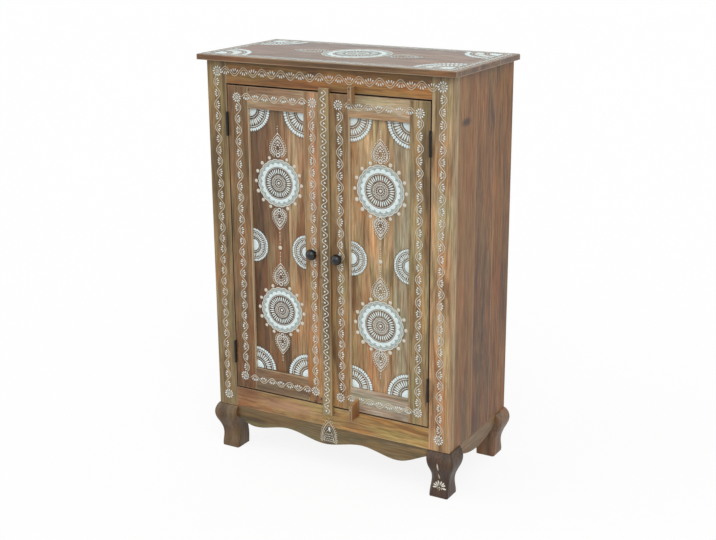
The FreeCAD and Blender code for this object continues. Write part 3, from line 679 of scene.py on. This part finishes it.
# %% [markdown]
# ## The shape of a dab
#
# A dab is round where the cone is pressed and runs out to a point where it is pulled away. One formula
# gives the whole family: a circle whose half-width is pinched by a power of the sine of half the angle.
# With no pinch it is a round bead. The same formula, drawn large, places the beads of the panels' drops.


# %% Outline of a dab
def teardrop(length, width, pinch, count):
    """Points round a drop: its tip is at the origin and its round head at length along the first axis."""
    turns = [2 * math.pi * i / count for i in range(count)]
    across = [math.sin(t) * abs(math.sin(t / 2)) ** pinch for t in turns]
    widest = max(across)
    return [(length * (1 - math.cos(t)) / 2, width * a / (2 * widest)) for t, a in zip(turns, across)]


# %% Plates and sashes
def strip(mesh, rows):
    """Faces between closed rows of points that run side by side."""
    verts = [[mesh.verts.new(p) for p in row] for row in rows]
    count = len(verts[0])
    for lower, upper in zip(verts, verts[1:]):
        for i in range(count):
            j = (i + 1) % count
            mesh.faces.new((lower[i], lower[j], upper[j], upper[i]))
    return verts


def plate(mesh, outline, levels):
    """A raised plate on a round outline, which is drawn at each (height, share of its size) and filled."""
    centre = sum((Vector(p) for p in outline), Vector((0, 0))) / len(outline)
    rows = []
    for height, share in levels:
        spots = [centre + (Vector(p) - centre) * share for p in outline]
        rows.append([(p.x, p.y, height) for p in spots])
    verts = strip(mesh, rows)
    mesh.faces.new(verts[0][::-1])
    mesh.faces.new(verts[-1])


def sash(mesh, inner, outer, levels):
    """A raised ring between two closed lines of points. Each level is a height and a share to step in."""
    rows = []
    for height, inset in levels:
        rows.append([(*Vector(a).lerp(Vector(b), inset), height) for a, b in zip(inner, outer)])
    for height, inset in reversed(levels):
        rows.append([(*Vector(b).lerp(Vector(a), inset), height) for a, b in zip(inner, outer)])
    verts = strip(mesh, rows)
    count = len(inner)
    for i in range(count):
        j = (i + 1) % count
        mesh.faces.new((verts[-1][i], verts[-1][j], verts[0][j], verts[0][i]))


# %% Dome of a dab
def mesh_data(name, mesh):
    """Ordinary mesh data from a finished bmesh, with its faces turned outward."""
    bmesh.ops.recalc_face_normals(mesh, faces=mesh.faces)
    data = bpy.data.meshes.new(name)
    mesh.to_mesh(data)
    return data


def dome_object(name, pinch, count):
    """A unit dab: length 1, width 1, height 1 and a short skirt below the surface."""
    mesh = bmesh.new()
    plate(mesh, teardrop(1, 1, pinch, count), ((-0.3, 1.0), (0.25, 1.0), (0.8, 0.75), (1.0, 0.35)))
    return bpy.data.objects.new(name, mesh_data(name, mesh))


comma_dome = dome_object("comma_dome", pinch=1.6, count=10)
bead_dome = dome_object("bead_dome", pinch=0.0, count=8)
print("dabs:", len(comma_dome.data.polygons), "and", len(bead_dome.data.polygons), "faces")


# %% [markdown]
# ## A sketch
#
# A sketch collects what is drawn on one face, in millimetres on that face, with a little tremor in the
# hand, and then turns it into one mesh of closed ridges and domes on the right plane. A face is given by
# its origin and the direction of its up, and its right is the cabinet's own. On a curved leg the paint
# is then laid on the wood.


# %% Sketch
class Sketch:
    """Lines, commas, beads and flooded areas on one face, in millimetres."""

    def __init__(self, seed, tremor=0.18):
        self.dice = random.Random(seed)
        self.tremor = tremor
        self.lines = []
        self.commas = []
        self.beads = []
        self.discs = []
        self.sashes = []

    def shake(self, amount=1.0):
        """A small error of the hand, in millimetres."""
        return self.dice.uniform(-self.tremor, self.tremor) * amount

    def line(self, points, width, load, closed=False):
        """A drawn line, with a ridge so wide."""
        self.lines.append((points, width, load, closed))

    def dab(self, dabs, x, y, turn, length, width, load, unsteady):
        """A dab from (x, y) in the direction of turn, off it by the hand's error times unsteady."""
        angle = math.radians(turn + self.shake(unsteady))
        dabs.append((x + self.shake(), y + self.shake(), angle,
                     length + self.shake(2), width + self.shake(0.6), load))

    def comma(self, *dab):
        """A comma with its tip at (x, y) that swells in the direction of turn, in degrees."""
        self.dab(self.commas, *dab, 20)

    def dash(self, *dab):
        """A stroke with two round ends, from (x, y) in the direction of turn, in degrees."""
        self.dab(self.beads, *dab, 14)

    def bead(self, x, y, radius, load):
        """A round bead with its middle at (x, y)."""
        size = 2 * radius + self.shake(0.8)
        self.beads.append((x - size / 2 + self.shake(), y + self.shake(), 0.0, size, size, load))

    def disc(self, outline, load=1.0):
        """A flooded area inside an outline."""
        self.discs.append((outline, load))

    def sash(self, inner, outer, load=1.0):
        """A flooded ring between two outlines that match point by point."""
        self.sashes.append((inner, outer, load))


# %% Growing a mesh from points
def point_mesh(name, spots, columns, edges=()):
    """A mesh of bare points that carries one named number per column, ready for a tree."""
    data = bpy.data.meshes.new(name)
    data.from_pydata([(x * MM, y * MM, 0) for x, y in spots], edges, [])
    for label, numbers in columns.items():
        data.attributes.new(label, "FLOAT", "POINT").data.foreach_set("value", numbers)
    return data


def grown(tree, data, settings):
    """The plain mesh that a geometry tree makes from data, with its inputs set by name."""
    carrier = bpy.data.objects.new(data.name, data)
    bpy.context.scene.collection.objects.link(carrier)
    modifier = carrier.modifiers.new("tree", "NODES")
    modifier.node_group = tree
    for socket in tree.interface.items_tree:
        if socket.in_out == "INPUT" and socket.name in settings:
            modifier[socket.identifier] = settings[socket.name]
    shaped = carrier.evaluated_get(bpy.context.evaluated_depsgraph_get())
    result = bpy.data.meshes.new_from_object(shaped)
    bpy.data.objects.remove(carrier)
    return result


# %% From sketch to mesh
line_rise_share, dab_rise_share, highest, sink = 0.62, 0.26, 0.8 * MM, -0.12 * MM
disc_levels = ((sink, 1.0), (0.22 * MM, 1.0), (0.42 * MM, 0.93))
sash_levels = ((sink, 0.0), (0.22 * MM, 0.0), (0.42 * MM, 0.12))
wash_levels = ((sink, 0.0), (0.05 * MM, 0.0), (0.08 * MM, 0.1))


def line_mesh(sketch):
    """The ridges of a sketch's lines."""
    spots, widths, loads, edges = [], [], [], []
    for points, width, load, closed in sketch.lines:
        first = len(spots)
        spots += points
        widths += [width * MM / 2] * len(points)
        loads += [load] * len(points)
        edges += [(first + i, first + i + 1) for i in range(len(points) - 1)]
        if closed:
            edges.append((len(spots) - 1, first))
    data = point_mesh("drawn", spots, {"half_width": widths, "load": loads}, edges)
    return grown(line_tree, data, {"Rise": line_rise_share, "Sink": sink, "Paint": relief_paint})


def dab_mesh(dabs, dome):
    """A dome on every dab."""
    columns = {"turn": [d[2] for d in dabs], "long": [d[3] * MM for d in dabs],
               "wide": [d[4] * MM for d in dabs], "load": [d[5] for d in dabs]}
    data = point_mesh("dabs", [d[:2] for d in dabs], columns)
    return grown(dab_tree, data, {"Dome": dome, "Rise": dab_rise_share, "Highest": highest,
                                  "Paint": relief_paint})


def flood_mesh(sketch):
    """The flooded areas of a sketch."""
    mesh = bmesh.new()
    loads = []
    for outline, load in sketch.discs:
        plate(mesh, [(x * MM, y * MM) for x, y in outline], disc_levels)
        loads += [load] * (len(mesh.verts) - len(loads))
    for inner, outer, load in sketch.sashes:
        scaled = [[(x * MM, y * MM) for x, y in side] for side in (inner, outer)]
        sash(mesh, *scaled, wash_levels if load == wash_load else sash_levels)
        loads += [load] * (len(mesh.verts) - len(loads))
    data = mesh_data("floods", mesh)
    data.attributes.new("load", "FLOAT", "POINT").data.foreach_set("value", loads)
    return data


# %% From mesh to painted piece
def laid_on(mesh, node_name, origin, out):
    """Move a painted mesh from its flat plane along its outside direction onto a node's curved face."""
    clear_of_wood = 50 * MM
    wood = nodes[node_name]
    corners = [wood.matrix_world @ vert.co for vert in wood.data.vertices]
    surface = BVHTree.FromPolygons(corners, [face.vertices for face in wood.data.polygons])
    for vert in mesh.verts:
        lift = (vert.co - origin).dot(out)
        place = surface.ray_cast(vert.co + out * clear_of_wood, -out)[0]
        vert.co = place + out * lift


def paint(sketch, name, body, origin, up=(0, 0, 1), curved_node=None):
    """Turn a sketch into one painted piece that rides on a body. The sketch's right is always +X."""
    flattest, steepest, crease = 0.85, 0.35, math.radians(50)
    meshes = []
    if sketch.lines:
        meshes.append(line_mesh(sketch))
    for dabs, dome in ((sketch.commas, comma_dome), (sketch.beads, bead_dome)):
        if dabs:
            meshes.append(dab_mesh(dabs, dome))
    if sketch.discs or sketch.sashes:
        meshes.append(flood_mesh(sketch))
    whole = bmesh.new()
    for data in meshes:
        whole.from_mesh(data)
    whole.normal_update()
    # How upright the paint stands at each point; the paint's material darkens upright parts as painted shade.
    flanks = [min(1.0, max(0.0, (flattest - vert.normal.z) / (flattest - steepest))) for vert in whole.verts]
    right = (1, 0, 0)
    out = Vector(right).cross(Vector(up))
    lay = Matrix((right, up, out)).transposed().to_4x4()
    lay.translation = origin
    whole.transform(lay)
    if curved_node:
        laid_on(whole, curved_node, origin, out)
    data = bpy.data.meshes.new(name)
    whole.to_mesh(data)
    data.attributes.new("flank", "FLOAT", "POINT").data.foreach_set("value", flanks)
    data.materials.clear()
    data.materials.append(relief_paint)
    data.polygons.foreach_set("material_index", [0] * len(data.polygons))
    data.shade_smooth()
    data.set_sharp_from_angle(angle=crease)
    piece = bpy.data.objects.new(name, data)
    bpy.context.scene.collection.objects.link(piece)
    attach(piece, body)
    print(name + ":", len(sketch.lines), "lines,", len(sketch.commas) + len(sketch.beads), "dabs,",
          len(data.polygons), "faces")


# %% [markdown]
# ## The running vine
#
# One line swings from side to side. In the hollow of each swing sits a small echo of the curve, and
# under it a comb of commas whose heads reach the open side, like seeds in a pod. It borders the frame,
# both doors and the top. On the narrow centre strip the swings are half as long and each holds one bead.
# One swing could be repeated as it is, but a hand never draws two alike, so each is drawn anew.


# %% Vine
def spot(x, y, radius, turn):
    """The point at a radius and a direction in degrees from (x, y)."""
    return x + radius * math.cos(math.radians(turn)), y + radius * math.sin(math.radians(turn))


def around(count, start=0.0, sweep=360.0):
    """Directions in degrees, evenly spaced in a sweep, with half a step left at both ends."""
    return [start + sweep * (i + 0.5) / count for i in range(count)]


def vine(sketch, start, end, step, swing, first=1, seeds=4, load=0.2):
    """A vine from start to end whose swings are about step long, the first to its left or its right."""
    swing_parts, echo_parts = 8, 6
    line_width, echo_width, seed_width, bead_radius = 2.0, 1.7, 3.2, 2.4
    start, end = Vector(start), Vector(end)
    run = end - start
    count = max(2, round(run.length / step))
    forward, side = run.normalized(), Vector((-run.y, run.x)).normalized() * first
    step = run.length / count
    points = []
    for i in range(count * swing_parts + 1):
        sway = swing * math.sin(math.pi * i / swing_parts)
        p = start + forward * step * i / swing_parts + side * (sway + sketch.shake(1.2))
        points.append((p.x, p.y))
    sketch.line(points, line_width, load if seeds == 1 else load * 0.6)
    for i in range(count):
        crest = side if i % 2 == 0 else -side
        heart = start + forward * step * (i + 0.5)
        if seeds == 1:
            sketch.bead(*(heart - crest * swing * 0.28), bead_radius, load + 0.3)
            continue
        echo = []
        for k in range(echo_parts + 1):
            turn = math.pi * (0.10 + 0.80 * k / echo_parts)
            height = swing * (math.sin(turn) * 0.52 - 0.04)
            p = heart - forward * math.cos(turn) * step * 0.25 + crest * height
            echo.append((p.x, p.y))
        sketch.line(echo, echo_width, load * 0.6)
        away = math.degrees(math.atan2(-crest.y, -crest.x))
        pod = heart + crest * swing * 0.75
        for turn in around(seeds, away - 52, 104):
            sketch.comma(*spot(*pod, swing * 0.68, turn), turn, swing * 0.92, seed_width, load + 0.4)


def ring(sketch, x, y, radius, width, load, start=0, sweep=360):
    """A drawn ring or arc, in degrees from start."""
    point_gap = 2.6
    count = max(6, round(radius * math.radians(sweep) / point_gap) + 6)
    whole = sweep >= 360
    turns = [start + sweep * i / (count if whole else count - 1) for i in range(count)]
    sketch.line([spot(x, y, radius, turn) for turn in turns], width, load, whole)


def flower(sketch, x, y, radius):
    """A corner flower: a ring round a small eye, inside a wheel of bold petals."""
    petals, petal_load, eye_load = 11, 0.75, 0.6
    ring(sketch, x, y, radius * 0.33, 1.5, eye_load)
    sketch.bead(x, y, radius * 0.16, eye_load)
    for turn in around(petals):
        sketch.dash(*spot(x, y, radius * 0.5, turn), turn, radius * 0.55, radius * 0.31, petal_load)


# %% [markdown]
# ## Rosettes and drops
#
# The big rosette is built from the middle outwards: an eye, a circle of dots between two rings, a wheel
# of short dashes and one of bold dashes, a thin ring, a broad flooded ring with a scalloped rim, two
# scalloped lines that stand like lace on a thin wash, and a circle of loose beads. The corners and sides
# of the panels carry quarters and halves of a simpler one. A drop hangs above and below each big
# rosette: rows of beads along the outlines of smaller and smaller drops, and a ringed eye at its foot.
# All of it is written as counts, radii and widths, so one function draws it at every size.


# %% Rosettes
def scallops(x, y, radius, depth, lobes, start=0.0):
    """Points round a ring that bulges outward by depth in so many round lobes."""
    lobe_points, roundness = 6, 0.55
    points = []
    for i in range(lobes * lobe_points):
        t = i / lobe_points
        bulge = depth * abs(math.sin(math.pi * t)) ** roundness
        points.append(spot(x, y, radius + bulge, start + 360.0 * t / lobes))
    return points


# Radii, lengths and widths are in millimetres, for a rosette of size 1.
lobes, wash_radii, flood_radii, rim_depth = 20, (39.5, 52.5), (36.0, 40.6), 5.0
eye_radius, dots_radius, dot_radius = 3.2, 9.4, 0.9
beads_radius, bead_radius = 58.5, 4.5
drawn_rings = ((6.6, 1.7), (12.0, 1.7), (34.4, 1.2))
dash_wheels = ((13.2, 5.8, 1.8, -0.1), (19.8, 12.8, 3.1, 0.2))
lace_lines = ((46.6, 1.8, 180 / lobes, 1.3), (50.4, 2.2, 0, 2.2))


def rosette(sketch, x, y, size, beads=16, load=0.7):
    """The big rosette, with a number of loose beads that leaves out those where a drop stands."""
    wash = [[spot(x, y, radius * size, turn) for turn in around(2 * lobes)] for radius in wash_radii]
    sketch.sash(*wash, wash_load)
    sketch.bead(x, y, eye_radius * size, load)
    for radius, width in drawn_rings:
        ring(sketch, x, y, radius * size, width * size ** 0.5, load)
    for turn in around(14):
        sketch.bead(*spot(x, y, dots_radius * size, turn), dot_radius * size, load)
    for turn in around(34):
        for radius, length, width, extra in dash_wheels:
            sketch.dash(*spot(x, y, radius * size, turn), turn, length * size, width * size, load + extra)
    inner, outer = [radius * size for radius in flood_radii]
    sketch.sash(scallops(x, y, inner, 0.0, lobes), scallops(x, y, outer, rim_depth * size, lobes))
    for radius, depth, shift, width in lace_lines:
        points = scallops(x, y, radius * size, depth * size, lobes, shift)
        sketch.line(points, width * size ** 0.5, 0.55, True)
    for turn in around(beads, -180 / max(beads, 1)):
        if abs(turn % 180 - 90) > 1:
            sketch.bead(*spot(x, y, beads_radius * size, turn), bead_radius * size + sketch.shake(2), 0.3)


def part_rosette(sketch, x, y, radius, start, sweep):
    """A half or quarter rosette that grows out of an edge or a corner."""
    disc = [spot(x, y, radius * 0.35, start + sweep * i / 12) for i in range(13)]
    sketch.disc(disc + [(x, y)] if sweep < 180 else disc)
    for share, width in ((0.42, 1.3), (0.80, 1.8)):
        ring(sketch, x, y, radius * share, width, 0.8, start, sweep)
    for dashes, inner, length, width, load in ((10, 0.47, 0.30, 0.075, 0.85), (14, 0.84, 0.16, 0.108, 1.0)):
        for turn in around(round(sweep / 90 * dashes), start, sweep):
            sketch.dash(*spot(x, y, radius * inner, turn), turn, radius * length, radius * width, load)


# %% Drops
# Each row of beads: its share of the drop's size, its number of places and the radius of its beads.
drop_rows = ((1.0, 34, 1.4), (0.81, 50, 1.3), (0.70, 46, 1.2), (0.50, 16, 1.8), (0.28, 9, 1.7))


def drop(sketch, x, y, turn, length, width, load=0.45):
    """A drop whose round foot stands at (x, y) and whose tip points in the direction of turn."""
    core_load, eye_radius, eye_width, eye_clearance = 0.6, 3.9, 2.6, 6.4
    ahead = Vector((math.cos(math.radians(turn)), math.sin(math.radians(turn))))
    aside = Vector((-ahead.y, ahead.x))
    foot = Vector((x, y))
    eye = foot + ahead * length * 0.09
    for share, count, radius in drop_rows:
        lift = length * (1 - share) * 0.36
        for along, across in teardrop(length * share, width * share, 0.9, count):
            place = foot + ahead * (lift + length * share - along) + aside * across
            if (place - eye).length > eye_clearance:
                sketch.bead(*place, radius, load if share > 0.6 else core_load)
    ring(sketch, *eye, eye_radius, eye_width, load + 0.3)


def dotted(sketch, x, z_from, z_to):
    """A column of dots, every second one smaller."""
    gap, radius = 4.4, 1.5
    count = max(2, round(abs(z_to - z_from) / gap))
    for i in range(count + 1):
        sketch.bead(x, z_from + (z_to - z_from) * i / count, radius * (1 - 0.3 * (i % 2)), 0.55)


# %% [markdown]
# ## Painting the doors
#
# The vine runs round each door along the middle of its rails and stiles and stops at a flower in each
# corner. The panels are painted inside their rails, with two big rosettes, six part rosettes, and drops
# and dots down the middle. Edges and middles are read from the boxes of the boards, so that the paint
# fits them, and only what a painter would place by eye is a number here.


# %% Doors
def face_plane(node_name):
    """Where the front of a node lies, as the origin of a sketch whose millimetres are the frame's own."""
    return Vector((0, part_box(node_name)[0].y, 0))


def span(node_name, axis):
    """The low end, middle and high end of a node along an axis, in millimetres."""
    low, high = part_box(node_name)
    return low[axis] / MM, (low[axis] + high[axis]) / 2 / MM, high[axis] / MM


def border(sketch, left, right, low, high, slips):
    """A vine on all four sides of a rectangle, with a flower near each corner, off it by its slip."""
    step, swing, flower_size, load = 24.0, 7.8, 10.5, 0.3
    gap = flower_size + 0.5
    for (x, z), slip in zip(((left, low), (right, low), (left, high), (right, high)), slips):
        flower(sketch, x + slip[0], z + slip[1], flower_size)
    for z in (low, high):
        vine(sketch, (left + gap, z), (right - gap, z), step, swing, load=load)
    for x in (left, right):
        vine(sketch, (x, high - gap), (x, low + gap), step, swing, load=load)


# %% Vines of the two doors
strip_low, strip_middle, strip_high = span("centre_strip", X)
for side, seed, slips in (("left", 11, ((-4, 2), (-1, 0), (-2, -2), (2, 0))),
                          ("right", 12, ((-4, -2), (0, 1), (-3, 0), (0, -2)))):
    door = side + "_door_"
    sketch = Sketch(seed)
    outer = span(door + "hinge_stile", X)[1]
    stile = span(door + "meeting_stile", X)
    inner = (stile[0] + strip_low) / 2 if side == "left" else (stile[2] + strip_high) / 2
    rails = [span(door + rail, Z)[1] for rail in ("bottom_rail", "top_rail")]
    border(sketch, min(outer, inner), max(outer, inner), *rails, slips)
    paint(sketch, "painted_vine_" + side + "_door", side + "_door", face_plane(door + "top_rail"))

# %% Panels of the two doors
# Side, heights of the upper and lower rosette and of the waist, size of both, seed, stile on the left.
panels = (("left", 635, 352, 491.5, 0.97, 21, "hinge_stile"),
          ("right", 645, 356.5, 494.5, 1.02, 22, "meeting_stile"))
# Foot of a drop above or below the middle of its rosette, its direction, length and width.
drops_of_rosette = ((56, 90, 50, 41), (-54, -90, 47, 37))
part_wax, ridge_wax, lit_reveal_tone = "#2a1c12", "#33241a", "#d3bf9f"
for side, upper, lower, waist, size, seed, left_stile in panels:
    door = side + "_door_"
    panel = door + "panel"
    sketch = Sketch(seed)
    stiles = sorted((span(door + "hinge_stile", X), span(door + "meeting_stile", X)))
    left, right = stiles[0][2], stiles[1][0]
    low, high = span(door + "bottom_rail", Z)[2], span(door + "top_rail", Z)[0]
    middle = (left + right) / 2
    parts = [(left, low, 50, 0, 90), (right, low, 53, 90, 90), (right, high, 53.5, 180, 90),
             (left, high, 50.5, 270, 90), (left, waist, 37.5, -90, 180), (right, waist, 38.0, 90, 180)]
    for part in parts:
        part_rosette(sketch, *part)
    for z in (upper, lower):
        rosette(sketch, middle, z, size)
        for foot, turn, length, width in drops_of_rosette:
            drop(sketch, middle, z + foot, turn, length, width)
    dotted(sketch, middle, upper + 107, upper + 122)
    sketch.bead(middle, waist + 2, 5.0, 0.3)
    dotted(sketch, middle, waist + 11, upper - 108)
    dotted(sketch, middle, waist - 9, lower + 110)
    dotted(sketch, middle, lower - 107, lower - 116)
    paint(sketch, "painted_panel_" + side + "_door", side + "_door", face_plane(panel))
    stain_and_highlight(panel, [(x, z, radius, radius) for x, z, radius, _, _ in parts], 0.93, 0.55, part_wax)
    for radius, core, share in ((57 * size, 0.88, 0.30), (37 * size, 0.93, 0.50)):
        stain_and_highlight(panel, [(middle, z, radius, radius) for z in (upper, lower)], core, share, ridge_wax)
    drops = [(middle, z + way * 78, 19, 24) for z in (upper, lower) for way in (1, -1)]
    stain_and_highlight(panel, drops, 0.6, 0.35, ridge_wax)
    # A painted highlight on the lit inner edge of the stile left of the panel, and a little of its front.
    stain_and_highlight(door + left_stile, [(left, (low + high) / 2, 0.7, 330)], 0.9, 0.75, lit_reveal_tone, depth=20.0)

# %% Centre strip
sketch = Sketch(31)
low, _, high = span("centre_strip", Z)
vine(sketch, (strip_middle, high - 4), (strip_middle, low + 4), 12.4, 6.6, seeds=1, load=0.4)
paint(sketch, "painted_vine_centre_strip", "left_door", face_plane("centre_strip"))
stain_and_highlight("centre_strip", [(strip_middle, (low + high) / 2, 8.5, 420)], 0.5, 0.35, "#3a2c1e")

# %% [markdown]
# ## Painting the frame, the apron and a leg
#
# The vine of the face frame runs up both stiles and across the top rail. The rail below the doors is
# bare. A pointed arch marks the middle of the apron and crosses the joint above it, and a small fan with
# two strokes over it sits on the front of the right leg.

# %% Face frame
sketch = Sketch(41)
left, right = span("frame_left_stile", X)[1], span("frame_right_stile", X)[1]
high, low = span("frame_top_rail", Z)[1] + 1.5, span("frame_bottom_rail", Z)[1] + 1
gap = 11.5
for x, first, load, slip in ((left, -1, 0.1, 2.5), (right, 1, 0.3, -1.5)):
    flower(sketch, x + slip, high - slip / 2, 11.5)
    flower(sketch, x + slip / 2, low + 1, 11.0)
    vine(sketch, (x, high - gap), (x, low + gap), 24.5, 7.8, first, load=load)
vine(sketch, (left + gap, high), (right - gap, high), 23.0, 9.2, load=0.15)
paint(sketch, "painted_vine_face_frame", "carcass", face_plane("frame_top_rail"))

# %% Arch on the apron
sketch = Sketch(42)
arch_x, arch_low, arch_high, arch_half_width = -0.4, 67.0, 118.5, 19.0


def lancet(share, count):
    """The two sides of a pointed arch, from its left foot over the tip to its right foot."""
    side = []
    for i in range(count + 1):
        rise = i / count
        height = (arch_high - arch_low) * share * rise
        side.append((arch_half_width * share * (1 - rise ** 3), arch_low + height))
    return [(arch_x - x, z) for x, z in side] + [(arch_x + x, z) for x, z in side[-2::-1]]


sketch.line(lancet(0.95, 12), 2.4, 0.1)
for share, count, radius in ((1.09, 12, 1.2), (0.80, 14, 1.0), (0.62, 8, 1.3)):
    for x, z in lancet(share, count)[1:-1]:
        sketch.bead(x, z, radius, 0.4)
for row in range(4):
    for i in range(6 - row):
        sketch.bead(arch_x + (i - (5 - row) / 2) * 5.0, arch_low + 4 + row * 5.2, 1.5, 0.5)
sketch.disc([(arch_x + 1 + 2.6 * math.cos(t * 0.6), 99 + 5.5 * math.sin(t * 0.6)) for t in range(10)], 0.9)
paint(sketch, "painted_arch_apron", "carcass", face_plane("apron_front"))
for name in ("apron_front", "frame_bottom_rail"):
    stain_and_highlight(name, [(arch_x, 86, 17, 30)], 0.7, 0.5, "#35302a")

# %% Fan on the right front leg
sketch = Sketch(43, tremor=0.3)
fan_x, fan_z, fan_radius = 268.5, 23.0, 15.0
for turn in around(8, -14, 208):
    sketch.comma(*spot(fan_x, fan_z, fan_radius * 0.2, turn), turn, fan_radius * 0.85, 4.0, 0.45)
for turn in (-150, -90, -30):
    sketch.dash(*spot(fan_x, fan_z, 2.5, turn), turn, 5.0, 1.8, 0.1)
sketch.bead(fan_x, fan_z, 1.8, 0.2)
sketch.dash(fan_x + 1.5, fan_z + 42, 92, 19, 3.6, 0.2)
sketch.dash(fan_x + 1.0, fan_z + 20, 95, 14, 3.2, 0.1)
paint(sketch, "painted_fan_leg", "carcass", face_plane("leg_front_right"), curved_node="leg_front_right")

# %% [markdown]
# ## Painting the top
#
# The top carries the vine between two lines all round its edge, a quarter rosette in each corner and one
# large rosette in the middle with a drop to its left and right. The sketch is the same as on the doors,
# with its up turned to the back.

# %% Top
top_low, top_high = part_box("top_front_board")[0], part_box("top_rear_board")[1]
x0, x1 = top_low.x / MM, top_high.x / MM
y0, y1 = top_low.y / MM, top_high.y / MM
sketch = Sketch(51)
border_width, edge_line, vine_inset, quarter = 26.0, 3.0, 14.5, 82.0
for inset in (edge_line, border_width):
    left, right, low, high = x0 + inset, x1 - inset, y0 + inset, y1 - inset
    sketch.line([(left, low), (right, low), (right, high), (left, high)], 1.8, 0.8, True)
for start, end in (((x0, y0), (x1, y0)), ((x0, y1), (x1, y1)), ((x0, y0), (x0, y1)), ((x1, y0), (x1, y1))):
    inward = [vine_inset if v in (x0, y0) else -vine_inset for v in (*start, *end)]
    places = [v + move for v, move in zip((*start, *end), inward)]
    vine(sketch, places[:2], places[2:], 15.0, 6.0, seeds=3, load=0.7)
for x, y, start in ((left, low, 0), (right, low, 90), (right, high, 180), (left, high, 270)):
    part_rosette(sketch, x, y, quarter, start, 90)
middle_y = (y0 + y1) / 2
rosette(sketch, 0, middle_y, 1.42, 0, 0.9)
for way, turn in ((1, 0), (-1, 180)):
    drop(sketch, way * 77, middle_y, turn, 76, 62, 0.9)
paint(sketch, "painted_top", "carcass", Vector((0, 0, top_high.z)), up=(0, 1, 0))

# %% [markdown]
# ## Finish
#
# The paint on the top stands less than a millimetre above the box of the frame, and no other paint
# leaves it. The box of the painted model is printed.

# %% Sizes and finish
low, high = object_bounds()
print("visual box", [round(v, 4) for v in (*low, *high)])
